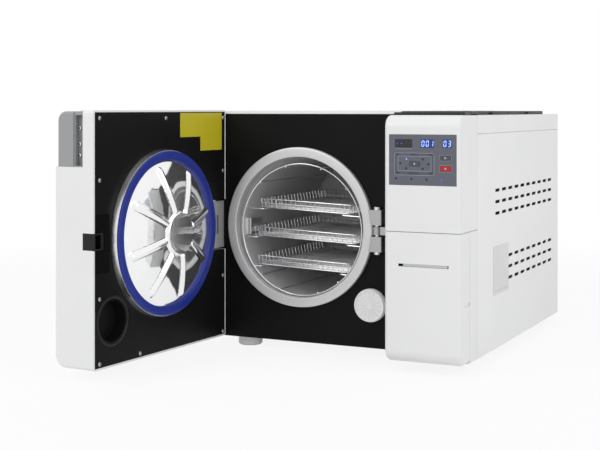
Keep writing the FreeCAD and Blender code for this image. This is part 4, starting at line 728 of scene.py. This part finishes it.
def wire_tray(name, node, level):
    half, low = tray_widths[level] / 2, tray_floor(level) + 0.9
    high = low + tray_depth - 2.2
    front, back = tray_front + 1.5, tray_front + tray_length - 1.5
    rim_half, foot_half = half - rim_inset, half - foot_inset
    rim_line = eased([(-rim_half, front, high), (rim_half, front, high), (rim_half, back, high),
                      (-rim_half, back, high)], 9.0, 6, closed=True)
    foot_line = eased([(-foot_half, front + 1, low), (foot_half, front + 1, low),
                       (foot_half, back - 1, low), (-foot_half, back - 1, low)], 8.0, 6,
                      closed=True)
    teeth, mesh_lines, grid = [], [], []
    tooth_run = back - front - 2 * first_tooth
    tooth_count = int(tooth_run / tooth_pitch)
    for k in range(tooth_count + 1):
        y = front + first_tooth + k * tooth_run / tooth_count
        for side in (-1, 1):
            teeth.append(([(side * rim_half, y, high), (side * (half - 5.4), y, low)], False))
    cross_count = int((back - front) / cross_pitch)
    for k in range(1, cross_count):
        y = front + k * (back - front) / cross_count
        mesh_lines.append(([(-foot_half, y, low), (foot_half, y, low)], False))
    long_count = int((2 * half - 14) / long_pitch)
    for k in range(long_count + 1):
        x = -half + 7 + k * (2 * half - 14) / long_count
        mesh_lines.append(([(x, front + end_inset, low - 0.3), (x, back - end_inset, low - 0.3)],
                           False))
        if k % 2 == 0:
            grid.append(([(x, front + end_inset, low), (x, front, high)], False))
            grid.append(([(x, back - end_inset, low), (x, back, high)], False))
    middle = (high + low) / 2
    for y in (front + 0.6, back - 0.6):
        grid.append(([(-half + 6, y, middle), (half - 6, y, middle)], False))
    kinds = (("_rims", [(rim_line, True), (foot_line, True)], 1.15, wire_steel, 3),
             ("_teeth", teeth, 1.05, bright_steel, 2), ("_grid", grid, 0.75, wire_steel, 1),
             ("_mesh", mesh_lines, 0.6, bright_steel, 1))
    parts = [wires(name + kind, lines, radius, rack_stand, finish, "cabinet", sides)
             for kind, lines, radius, finish, sides in kinds]
    tray = gather(name, parts)
    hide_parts(node)
    says(tray)


for level, node in enumerate(("tray_upper", "tray_middle", "tray_lower")):
    wire_tray("wires_" + node, node, level)

# %% [markdown]
# ## The pressed lid
# The lid is one disc of sheet steel, pressed into a shallow dome with a round boss in the middle
# and eight ribs that stiffen it. A height map over rings and rays gives every part of it: the dome
# is a sphere, the boss is a low drum with a slightly rounded face, and a rib is a welt along a ray
# with a round crest and hollow feet, so that each rib shows several bright and dark stripes. This
# keeps the whole mirror one smooth surface, which is what makes its reflections flow. The rim
# round the seal leans outwards, so it is turned as a ring of its own.

# %% Height of the pressing
dome_radius, dome_edge, dome_foot = 310.0, 122.0, 9.0
boss_top, boss_foot, boss_proud, boss_curve = 34.0, 37.0, 38.5, 440.0
rib_from, rib_to, rib_half, rib_rise = 41.0, 109.5, 9.0, 5.6
rib_angle, rib_pitch, rib_power = math.radians(16), math.radians(45), 1.8
boss_reach = boss_foot + 1.5


def smooth(t):
    t = min(1.0, max(0.0, t))
    return t * t * (3 - 2 * t)


def dome_height(r):
    rise = math.sqrt(dome_radius ** 2 - r ** 2) - math.sqrt(dome_radius ** 2 - dome_edge ** 2)
    return dome_foot + rise


def rib_place(r, angle):
    """How far a point lies along its nearest rib and across it, and how many half widths off."""
    away = (angle - rib_angle + rib_pitch / 2) % rib_pitch - rib_pitch / 2
    along, across = r * math.cos(away), r * math.sin(away)
    beyond = max(rib_from - along, 0, along - rib_to)
    return along, across, math.hypot(across, beyond) / rib_half


def press_height(r, angle):
    height = dome_height(min(r, dome_edge))
    distance = rib_place(r, angle)[2]
    rib = rib_rise * (1 - distance ** 2) ** rib_power if distance < 1 else 0.0
    if r >= boss_reach:
        return height + rib
    boss = smooth((boss_reach - r) / (boss_reach - boss_top))
    drum = boss_proud - r ** 2 / (2 * boss_curve)
    return max(height + rib, height + (drum - height) * boss)


# %% Where painted shade darkens the lid
# Each rib gets a streak of painted shade on both flanks, broad on one side, and it thins outwards.
shade_side = Vector((0.8, -0.6, 0))
shade_side_from, shade_side_thins, far_from, far_thins, streak_end = 0.5, 0.42, 0.8, 0.14, 0.96


def painted_shade_at(r, angle):
    along, across, distance = rib_place(r, angle)
    rib_turn = angle - math.atan2(across, along)
    side = Vector((-math.sin(rib_turn), math.cos(rib_turn), 0)) * math.copysign(1, across)
    reach = min(1.0, max(0.0, (along - rib_from) / (rib_to - rib_from)))
    on_shade_side = side.dot(shade_side) > 0
    inner = shade_side_from + shade_side_thins * reach if on_shade_side else far_from + far_thins * reach
    return inner < distance < streak_end and along < rib_to


# %% Press the lid
# Rays stand close together across each rib, where the surface bends most.
fine = [0.3 * k for k in range(-18, 19)]
coarse = [6.0, 6.7, 7.5, 8.3, 9.2, 10.2, 11.3, 12.5, 13.8, 15.5, 17.5, 19.8]
fan = [-a for a in reversed(coarse)] + fine + coarse + [22.5]
ray_angles = [rib_angle + rib_pitch * index + math.radians(step) for index in range(8)
              for step in fan]
ray_count = len(ray_angles)
ring_radii = [0.4] + [2.0 * k for k in range(1, 16)] + [31 + 0.5 * k for k in range(18)]
ring_radii += [40 + 1.1 * k for k in range(75)]
lid_stand = face_frame(door_spot(lid_centre, 0, axis_z / mm), -along_door)
verts = []
for r in ring_radii:
    for angle in ray_angles:
        across, up = r * math.cos(angle), r * math.sin(angle)
        verts.append((across * mm, up * mm, press_height(r, angle) * mm))
rim_profile = eased([(122.4, 9.0, 0), (124.1, 9.0, 0), (124.1, 3.0, 0), (139.4, 3.0, 0),
                     (139.4, 1.0, 0), (121.0, 1.0, 0)], [0, 0.5, 0, 0, 0, 0], 4)[1:]
for point in rim_profile:
    for angle in ray_angles:
        verts.append((point.x * mm * math.cos(angle), point.x * mm * math.sin(angle), point.y * mm))
faces = ring_faces(len(ring_radii) + len(rim_profile), ray_count) + [tuple(range(ray_count))]
lid = make_piece("pressed_lid", verts, faces, lid_stand, mirror_steel, "door", 50)

# %% Paint shade into the creases
creases = []
for row, (r, after) in enumerate(zip(ring_radii, ring_radii[1:])):
    for ray, angle in enumerate(ray_angles):
        step = (ray_angles[(ray + 1) % ray_count] - angle) % rib_pitch
        if r > boss_foot + 2 and painted_shade_at((r + after) / 2, angle + step / 2):
            creases.append(row * ray_count + ray)
# The darker steel on these faces is painted shade.
lid.data.materials.append(crease_shade_steel)
for index in creases:
    lid.data.polygons[index].material_index = 1
print("faces in the creases:", len(creases))
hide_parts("lid")
says(lid)

# %% Roll the rim over
roll_profile = eased([(139.45, 0.4, 0), (139.45, 10.2, 0), (140.0, 10.2, 0), (142.5, 0.9, 0),
                      (142.5, 0.4, 0)], [0, 0.2, 0.5, 0.6, 0], 6, closed=True)
rolled_rim = turned("rolled_rim", roll_profile, lid_stand, bright_steel, "door", 240)
says(rolled_rim)

# %% [markdown]
# ## The blue seal
# A silicone ring sits in the groove round the lid. Its face has two fine moulded lines, and its
# edges are round. It is turned from a profile; a torus would be too round, because the real ring is
# flat where it meets the flange.

# %% Turn the seal
seal_profile = eased([(124.2, 3.0, 0), (139.4, 3.0, 0), (139.4, 13.5, 0), (135.2, 13.5, 0),
                      (134.9, 13.25, 0), (134.6, 13.5, 0), (129.0, 13.5, 0), (128.7, 13.25, 0),
                      (128.4, 13.5, 0), (124.2, 13.5, 0)],
                     [0.3, 0.3, 3.2, 0.1, 0.1, 0.1, 0.1, 0.1, 0.1, 2.8], 5, closed=True)
gasket = turned("seal_ring", seal_profile, lid_stand, seal_blue, "door", 240, True, 60)
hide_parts("lid_seal")
says(gasket)

# %% [markdown]
# ## The air filter
# A round disc of white plastic on the front panel, with thin radial webs between a hub and a clear
# rim. Its face is turned, and the webs are narrow plates laid over it, which cast the fine shadows
# that tell the eye it is not a plain button. The webs' darker grey is painted shade.

# %% Mould the filter
filter_low, filter_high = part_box("air_filter")
filter_radius = (filter_high.x - filter_low.x) / 2 / mm - 0.8
filter_proud = (face_y - filter_low.y) / mm
filter_middle = Vector(((filter_low.x + filter_high.x) / 2, face_y,
                        (filter_low.z + filter_high.z) / 2))
filter_stand = face_frame(filter_middle, rightwards)
disc_line = eased([(0.01, 0, 0), (filter_radius, 0, 0), (filter_radius, filter_proud - 4.5, 0),
                   (filter_radius - 1.2, filter_proud - 3.6, 0),
                   (filter_radius - 1.2, filter_proud, 0), (filter_radius - 3.4, filter_proud, 0),
                   (filter_radius - 3.8, filter_proud - 1.6, 0), (7.4, filter_proud - 1.1, 0),
                   (7.0, filter_proud - 0.2, 0), (4.4, filter_proud - 0.2, 0),
                   (4.0, filter_proud - 1.2, 0), (0.01, filter_proud - 1.2, 0)], 0.6, 4)
disc = turned("filter_disc", disc_line, filter_stand, filter_plastic, "cabinet", 128, False)
webs, web_count = [], 16
# The webs' grey, darker than the face, is painted shade.
web_shade_grey = coated("web_shade_grey", (0.82, 0.82, 0.815), (0.78, 0.78, 0.775), (0.4, 0.5), 1500,
                     0.00002, 0.0)
for index in range(web_count):
    angle = 2 * math.pi * index / web_count
    web = [(8.2, -0.3, 0), (filter_radius - 4.4, -0.45, 0), (filter_radius - 4.4, 0.45, 0),
           (8.2, 0.3, 0)]
    turn = Matrix.Rotation(angle, 4, "Z")
    webs.append(plate("web", [turn @ Vector(p) for p in web], filter_proud - 1.8,
                      filter_proud - 0.8, filter_stand, web_shade_grey, "cabinet", 0.2))
filter_webs = gather("filter_webs", webs)
disc.name = "filter_face"
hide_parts("air_filter")
for piece in (disc, filter_webs):
    says(piece)

# %% [markdown]
# ## Screws
# Ten small pan-head screws hold the door's inner panel, and three hold the handle. At this size a
# head is a shallow dome with a cross-shaped recess, darkened with painted shade. One function
# makes a head at each place.

# %% One screw head
def screw_head(name, stand, body, radius=3.5, height=2.0):
    dome_part = [(radius, 0.0), (radius, height * 0.35), (radius * 0.86, height * 0.72),
                 (radius * 0.6, height * 0.95), (radius * 0.34, height)]
    recess = [(radius * 0.26, height * 0.55), (0.01, height * 0.4)]
    head = turned("head", dome_part + recess, stand, screw_steel, body, 24, False, 40)
    # The dark cross in the recess is painted shade.
    recess_shade_arms = []
    for quarter in range(4):
        turn = Matrix.Rotation(quarter * math.pi / 2 + 0.5, 4, "Z")
        arm = [(0.2, -0.35, 0), (radius * 0.6, -0.3, 0), (radius * 0.6, 0.3, 0), (0.2, 0.35, 0)]
        outline = [turn @ Vector(p) for p in arm]
        recess_shade_arms.append(plate("slot", outline, height * 0.7, height * 0.93, stand, dark_plastic, body))
    recess_shade = gather(name + "_recess_shade", recess_shade_arms)
    recess_shade.parent = head
    recess_shade.matrix_parent_inverse = head.matrix_world.inverted()
    head.name = name
    return head


# %% Screws of the inner panel
panel_places = [(331.9, 400.6), (155.4, 399.5), (-20.1, 399.2), (331.9, 301.9), (-20.1, 302.9),
                (331.9, 113.7), (-20.1, 111.9), (331.9, 11.1), (-20.1, 10.1), (227.2, 10.8)]
print("panel screws:", len(panel_places))
panel_stands = [face_frame(door_spot(s, 0, z + base), -along_door) for s, z in panel_places]
panel_heads = [screw_head("panel_screw_%02d" % index, stand, "door")
               for index, stand in enumerate(panel_stands, 1)]
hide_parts("door_panel_screws")

# %% [markdown]
# ## Three hexagon screws in the handle
# The grey handle is held by three button-head screws at the bottom of its finger channel. A button
# head is a flat dome with a six-sided socket. The head is turned, and the socket is a dark plate
# of painted shade in its crown, which reads as a hole at this size. They face the free edge of
# the door.

# %% Screws of the handle
handle_places = (401.8, 376.2, 358.3)
handle_s, handle_n = 334.1, -37.4
edge_right = Vector((0, 0, 1)).cross(along_door)


def button_head(name, z):
    stand = face_frame(door_spot(handle_s, handle_n, z), edge_right)
    dome_part = [(3.7, 0.0), (3.7, 0.9), (3.4, 1.7), (2.8, 2.4), (2.0, 2.8), (1.9, 1.6),
                 (0.01, 1.5)]
    head = turned(name, dome_part, stand, bright_steel, "door", 32, False, 40)
    # The dark hexagon is painted shade in the socket.
    hexagon = [(x, y, 0) for x, y in circle(1.85, 6)]
    socket = plate(name + "_socket", hexagon, 1.6, 1.9, stand, dark_plastic, "door")
    return head


handle_heads = [button_head("handle_screw_%d" % index, z)
                for index, z in enumerate(handle_places, 1)]
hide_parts("handle_screws")
print("handle screws:", len(handle_heads))

# %% [markdown]
# ## The keypad's print
# The keypad is a printed film. Its ink is far thinner than a hair, so a picture would be the usual
# way, but thin plates of ink keep crisp edges at any distance and need no image. Each mark stands a
# few hundredths of a millimetre proud of the film. Words are left out, so the fields stay plain.

# %% Inks and lights
def ink(name, colour, shade):
    return coated(name, colour, shade, (0.32, 0.4), 2500, 0.000003, 0.0, 0.4, 60.0)


def lamp(name, colour, shade, glow, strength):
    material, tree, shader = start(name, colour, shade, 0.5, 300.0)
    fill(shader, Emission_Color=(*glow, 1), Emission_Strength=strength)
    drifting_gloss(tree, 0.15, 0.25, 200.0)
    return material


light_ink = ink("light_ink", (0.42, 0.43, 0.46), (0.35, 0.36, 0.39))
dark_ink = ink("dark_ink", (0.05, 0.054, 0.078), (0.042, 0.046, 0.068))
middle_ink = ink("middle_ink", (0.085, 0.09, 0.115), (0.078, 0.083, 0.107))
black_ink = ink("black_ink", (0.006, 0.006, 0.008), (0.01, 0.01, 0.012))
ghost_ink = ink("unlit_segment", (0.03, 0.03, 0.033), (0.024, 0.024, 0.027))
glow_blue = lamp("display_glow", (0.008, 0.012, 0.12), (0.006, 0.009, 0.1), (0.012, 0.025, 0.3),
                 0.6)
dark_blue = ink("dark_segment", (0.012, 0.014, 0.05), (0.01, 0.012, 0.042))
lit_blue = lamp("lit_segment", (0.3, 0.46, 0.95), (0.26, 0.42, 0.9), (0.34, 0.56, 1.0), 0.85)
dim_blue = lamp("dim_segment", (0.06, 0.09, 0.4), (0.05, 0.08, 0.36), (0.08, 0.13, 0.6), 0.35)
print("inks ready")

# %% Draw the fields
film_stand = face_frame(Vector((axis_x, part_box("control_panel")[0].y, 0)), rightwards)
film_lift, ink_lift = 0.02, 0.06


def print_mark(name, outline, finish, body="cabinet", lift=0.0, stand=None):
    return plate(name, outline, film_lift + lift, ink_lift + lift, stand or film_stand, finish,
                 body)


def frame_line(name, x0, x1, y0, y1, corner, width, finish, lift=0.0):
    outside = rectangle(x0, x1, y0, y1, corner)
    inside = rectangle(x0 + width, x1 - width, y0 + width, y1 - width, max(corner - width, 0.2))
    verts = [(p[0] * mm, p[1] * mm, (ink_lift + lift) * mm) for p in outside + inside]
    return make_piece(name, verts, ring_faces(2, len(outside)), film_stand, finish, "cabinet")


fields = [frame_line("outer_frame", 220.0, 288.7, 307.5 + base, 343.9 + base, 4.0, 0.5, light_ink,
                     0.04),
          frame_line("inner_frame", 226.1, 283.6, 314.3 + base, 338.7 + base, 1.5, 0.5, light_ink,
                     0.04)]
band = frame_line("program_band", 220.5, 288.2, 308.0 + base, 343.4 + base, 3.6, 5.6, middle_ink)
dark_spans = [(221.2, 229.0, 308.6, 313.0), (244.5, 262.0, 308.6, 312.6),
              (279.6, 287.4, 308.6, 313.0), (221.2, 228.6, 339.6, 343.0),
              (248.0, 261.5, 339.8, 342.9), (278.8, 287.4, 339.4, 343.0)]
darks = [print_mark("band_patch", rectangle(x0, x1, y0 + base, y1 + base, 1.2), dark_ink, lift=0.03)
         for x0, x1, y0, y1 in dark_spans]
key_boxes, key_gap = [(299.2, 316.5, 332.8, 339.8), (298.3, 317.4, 315.0, 323.3)], 1.3
outlines = [frame_line("key_outline", x0 - key_gap, x1 + key_gap, y0 + base - key_gap,
                       y1 + base + key_gap, 1.0, 0.35, light_ink)
            for x0, x1, y0, y1 in key_boxes]
rule = print_mark("display_rule", rectangle(221.0, 251.0, 350.2 + base, 350.6 + base), light_ink)
frames = gather("keypad_frames", fields + outlines + [rule])
patches = gather("keypad_patches", darks)
for piece in (frames, patches, band):
    says(piece)

# %% Light dots
def disc_outline(x, y, radius, steps=24):
    return [(x + across, y + up, 0) for across, up in circle(radius, steps)]


dark_dots = [(269.1, 333.7), (230.4, 326.7), (278.8, 325.8), (240.3, 318.7), (269.1, 318.2),
             (222.8, 302.0), (249.7, 301.4), (275.6, 301.0)]
lit_dots = [(240.7, 333.8), (301.0, 300.4)]
dots = gather("unlit_dots", [print_mark("dot", disc_outline(x, y + base, 1.9), black_ink)
                             for x, y in dark_dots])
rings = gather("lit_dot_rims", [print_mark("rim", disc_outline(x, y + base, 2.0), dim_blue)
                                for x, y in lit_dots])
core_x, core_y = lit_dots[0]
core = print_mark("lit_dots", disc_outline(core_x + 0.5, core_y + base, 0.9), lit_blue, lift=0.03)
for piece in (dots, rings, core):
    says(piece)

# %% Symbols on the keys
triangle = [(306.2, 333.9 + base, 0), (306.2, 338.7 + base, 0), (310.2, 336.3 + base, 0)]
start_mark = print_mark("start_symbol", triangle, light_ink, "key_start", 0.9)
stop_mark = print_mark("stop_symbol", disc_outline(307.8, 319.2 + base, 1.7), light_ink, "key_stop",
                       0.9)
ring_mark = print_mark("select_symbol", disc_outline(255.0, 326.25 + base, 1.7), light_ink,
                       "key_centre", 0.9)
for piece in (start_mark, stop_mark, ring_mark):
    says(piece)

# %% [markdown]
# ## Seven-segment figures
# Each digit is seven bars, and a number is the list of its lit bars. Unlit bars are still faintly
# seen in real displays, so they're drawn too, in a colour just above the black of the window.

# %% Bars of a digit
lit_bars = {"0": "abcdef", "1": "bc", "3": "abgcd", "-": "g", " ": ""}


def bar_outline(letter, x, y, width, height, thick):
    half, slant, gap, shoulder = thick / 2, 0.09, 0.15, 1.15
    left, right, low, mid, high = x, x + width, y, y + height / 2, y + height
    ends = {"a": ((left, high), (right, high)), "b": ((right, mid), (right, high)),
            "c": ((right, low), (right, mid)), "d": ((left, low), (right, low)),
            "e": ((left, low), (left, mid)), "f": ((left, mid), (left, high)),
            "g": ((left, mid), (right, mid))}[letter]
    start_point, end_point = Vector((*ends[0], 0)), Vector((*ends[1], 0))
    run = (end_point - start_point).normalized()
    side = Vector((-run.y, run.x, 0)) * half
    a, b = start_point + run * half * shoulder, end_point - run * half * shoulder
    tips = [start_point + run * gap, a + side, b + side, end_point - run * gap, b - side, a - side]
    return [Vector((p.x + (p.y - y) * slant, p.y, 0)) for p in tips]


def number(name, text, window, lit, ghost):
    x0, x1, y0, y1 = window
    pitch = (x1 - x0) / len(text)
    width, height, thick = pitch * 0.5, (y1 - y0) * 0.66, pitch * 0.17
    bright, faint = [], []
    for place, sign in enumerate(text):
        x, y = x0 + pitch * (place + 0.2), y0 + (y1 - y0) * 0.17
        for letter in "abcdefg":
            outline = bar_outline(letter, x, y, width, height, thick)
            group, finish = (bright, lit) if letter in lit_bars[sign] else (faint, ghost)
            group.append(print_mark("bar", outline, finish, lift=-0.02, stand=window_stand))
    made = [gather(name + "_unlit", faint)] if faint else []
    made += [gather(name + "_lit", bright)] if bright else []
    for piece in made:
        says(piece)


# %% Light the displays
window_stand = face_frame(Vector((axis_x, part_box("display_windows")[0].y, 0)), rightwards)
display_low, display_high, border = 352.4 + base, 366.0 + base, 0.4
number("first_display", "--  ", (221.0, 251.0, display_low, display_high), dim_blue, ghost_ink)
for name, text, window in (("middle_display", "001", (265.5, 288.2, display_low, display_high)),
                           ("last_display", "03", (302.9, 317.9, display_low, display_high))):
    field = rectangle(window[0] + border, window[1] - border, window[2] + border,
                      window[3] - border, 0.8)
    glow = print_mark(name + "_glow", field, glow_blue, lift=-0.05, stand=window_stand)
    number(name, text, window, lit_blue, dark_blue)

# %% [markdown]
# ## Fields on the door and the side
# The door's inner panel carries a yellow field in an L shape and a darker rectangle round the
# latch. The right side carries a bare plate. All three are thin sheets stuck or riveted on, so
# they're cut to their outlines and stand a fraction of a millimetre proud.

# %% Cut the yellow field
yellow = coated("yellow_film", (0.58, 0.5, 0.02), (0.52, 0.44, 0.015), (0.35, 0.45), 2000, 0.00001,
                0.0)
corner_points = [(113.4, 366.3), (113.4, 408.4), (-15.8, 408.4), (-15.8, 341.3), (52.0, 341.3),
                 (52.0, 366.3)]
yellow_field = plate("yellow_field", [(-s, z + base, 0) for s, z in corner_points], 0.01, 0.16,
                     door_frame, yellow, "door")
says(yellow_field)

# %% Darker rectangle round the latch
matt_black = coated("matt_black", grey(0.003), grey(0.005), (0.6, 0.75), 1200, 0.00002, shine=0.05)
notch = 324.0
latch_points = [(306.7, 153.7), (340.6, 153.7), (340.6, 191.0), (notch, 191.0), (notch, 219.0),
                (340.6, 219.0), (340.6, 247.8), (306.7, 247.8)]
latch_field = plate("latch_field", [(-s, z + base, 0) for s, z in latch_points], 0.01, 0.5,
                    door_frame, matt_black, "door")
says(latch_field)

# %% Lip of the filter pocket
pocket_stand = face_frame(door_spot(299.2, 0, 92.0), -along_door)
lip_line = eased([(36.0, -3.0, 0), (40.6, -3.0, 0), (40.6, 1.3, 0), (36.0, 1.3, 0)],
                 [0.1, 0.1, 1.8, 2.2], 6, closed=True)
pocket_lip = turned("pocket_lip", lip_line, pocket_stand, striker_black, "door", 96)
says(pocket_lip)

# %% Painted light: a light grey plate inside the paper slot
slot_stand = face_frame(Vector((axis_x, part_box("service_cover")[0].y, 0)), rightwards)
# The plate's grey is painted light falling into the slot.
slot_light_grey = coated("slot_light_grey", grey(0.56), grey(0.48), (0.5, 0.6), 1500, 0.00002, 0.0)
slot_light_plate = plate("slot_light_plate", rectangle(235.0, 310.8, 176.3, 180.0), -1.6, -0.4, slot_stand,
                   slot_light_grey, "service_cover")
says(slot_light_plate)

# %% Painted shade: a dark sheet behind the vent slots of the right side
vent_shade_sheet = plate("vent_shade_sheet", rectangle(75.0, 430.0, 150.0, 345.0), -2.4, -1.9, side_frame,
                 matt_black, "cabinet")
says(vent_shade_sheet)

# %% Bare plate on the right side
plate_white = coated("plate_white", grey(0.72), grey(0.69), (0.3, 0.42), 1500, 0.00001)
side_plate = plate("side_plate", rectangle(76.0, 167.5, 93.0 + base, 177.0 + base, 2.0), 0.02, 0.8,
                   side_frame, plate_white, "cabinet", 0.25)
plate_rule = plate("side_plate_rule", rectangle(80.0, 163.5, 99.0 + base, 99.7 + base), 0.8, 0.9,
                   side_frame, light_ink, "cabinet")
for piece in (side_plate, plate_rule):
    says(piece)

# %% [markdown]
# ## Floor, backdrop and light
# The picture has no visible backdrop: the floor melts into white. The floor here is a disc whose
# material fades to clear away from the machine, and the world behind it is white for the camera. A
# large soft box stands in front on the left, a weaker one on the right, and one overhead.

# %% Tell the camera's rays from the light's
def in_sight(tree):
    """A node that gives 1 to what is seen straight, mirrored or through glass, and 0 to light."""
    ray = add_node(tree, "ShaderNodeLightPath")
    mirrored = add_node(tree, "ShaderNodeMath", operation="MAXIMUM")
    any_way = add_node(tree, "ShaderNodeMath", operation="MAXIMUM")
    chain(tree, (ray, "Is Camera Ray", mirrored, 0), (ray, "Is Glossy Ray", mirrored, 1),
          (mirrored, 0, any_way, 0), (ray, "Is Transmission Ray", any_way, 1))
    return any_way


# %% Lay the floor
floor_steps, floor_glow, fade_from, fade_to = 96, 0.87, 1.0, 2.2
floor_rings = [0.02 + 0.1 * k for k in range(40)]
floor_verts = [(axis_x + x, face_y + y, 0)
               for radius in floor_rings for x, y in circle(radius, floor_steps)]
floor_faces = ring_faces(len(floor_rings), floor_steps) + [tuple(range(floor_steps))]
floor_mesh = bpy.data.meshes.new("studio_floor")
floor_mesh.from_pydata(floor_verts, [], floor_faces)
floor = bpy.data.objects.new("studio_floor", floor_mesh)
scene.collection.objects.link(floor)

floor_finish = bpy.data.materials.new("studio_floor")
floor_finish.use_nodes = True
tree = floor_finish.node_tree
tree.nodes.remove(tree.nodes["Principled BSDF"])
matt = fill(add_node(tree, "ShaderNodeBsdfDiffuse"), Color=(0.9, 0.9, 0.9, 1))
white = fill(add_node(tree, "ShaderNodeEmission"), Color=(1, 1, 1, 1), Strength=1.0)
share = add_node(tree, "ShaderNodeMath", operation="MULTIPLY")
share.inputs[1].default_value = floor_glow
lit = add_node(tree, "ShaderNodeMixShader")
place = add_node(tree, "ShaderNodeTexCoord")
from_middle = add_node(tree, "ShaderNodeVectorMath", operation="DISTANCE")
from_middle.inputs[1].default_value = (axis_x, face_y, 0)
fade = fill(add_node(tree, "ShaderNodeMapRange", interpolation_type="SMOOTHSTEP"),
            From_Min=fade_from, From_Max=fade_to)
clear = add_node(tree, "ShaderNodeBsdfTransparent")
edge_mix = add_node(tree, "ShaderNodeMixShader")
chain(tree, (in_sight(tree), 0, share, 0), (share, 0, lit, 0), (matt, 0, lit, 1),
      (white, 0, lit, 2), (place, "Object", from_middle, 0), (from_middle, "Value", fade, "Value"),
      (fade, "Result", edge_mix, 0), (lit, 0, edge_mix, 1), (clear, 0, edge_mix, 2),
      (edge_mix, 0, tree.nodes["Material Output"], "Surface"))
floor_mesh.materials.append(floor_finish)
print("floor radius", floor_rings[-1])

# %% Set the world
world = bpy.data.worlds.new("studio")
scene.world = world
world.use_nodes = True
tree = world.node_tree
ambient = fill(tree.nodes["Background"], Color=(0.985, 0.99, 1.0, 1), Strength=0.62)
backdrop = fill(add_node(tree, "ShaderNodeBackground"), Color=(1, 1, 1, 1), Strength=1.0)
pick = add_node(tree, "ShaderNodeMixShader")
chain(tree, (in_sight(tree), 0, pick, 0), (ambient, 0, pick, 1), (backdrop, 0, pick, 2),
      (pick, 0, tree.nodes["World Output"], "Surface"))
print("world ready")

# %% Hang the soft boxes
def soft_box(name, place, target, size, power):
    light = bpy.data.lights.new(name, "AREA")
    light.shape = "RECTANGLE"
    light.size, light.size_y = size
    light.energy = power
    holder = bpy.data.objects.new(name, light)
    holder.location = place
    aim = Vector(target) - Vector(place)
    holder.rotation_euler = aim.to_track_quat("-Z", "Y").to_euler()
    scene.collection.objects.link(holder)
    print("hung", name, power, "W")


soft_box("front_left", (-1.6, -2.4, 1.9), (0, -0.1, 0.2), (1.6, 1.6), 27)
soft_box("front_right", (2.3, -1.2, 1.2), (0.1, 0, 0.2), (1.2, 1.6), 15)
soft_box("overhead", (0.1, -0.2, 2.4), (0.1, 0, 0), (2.0, 2.0), 6)
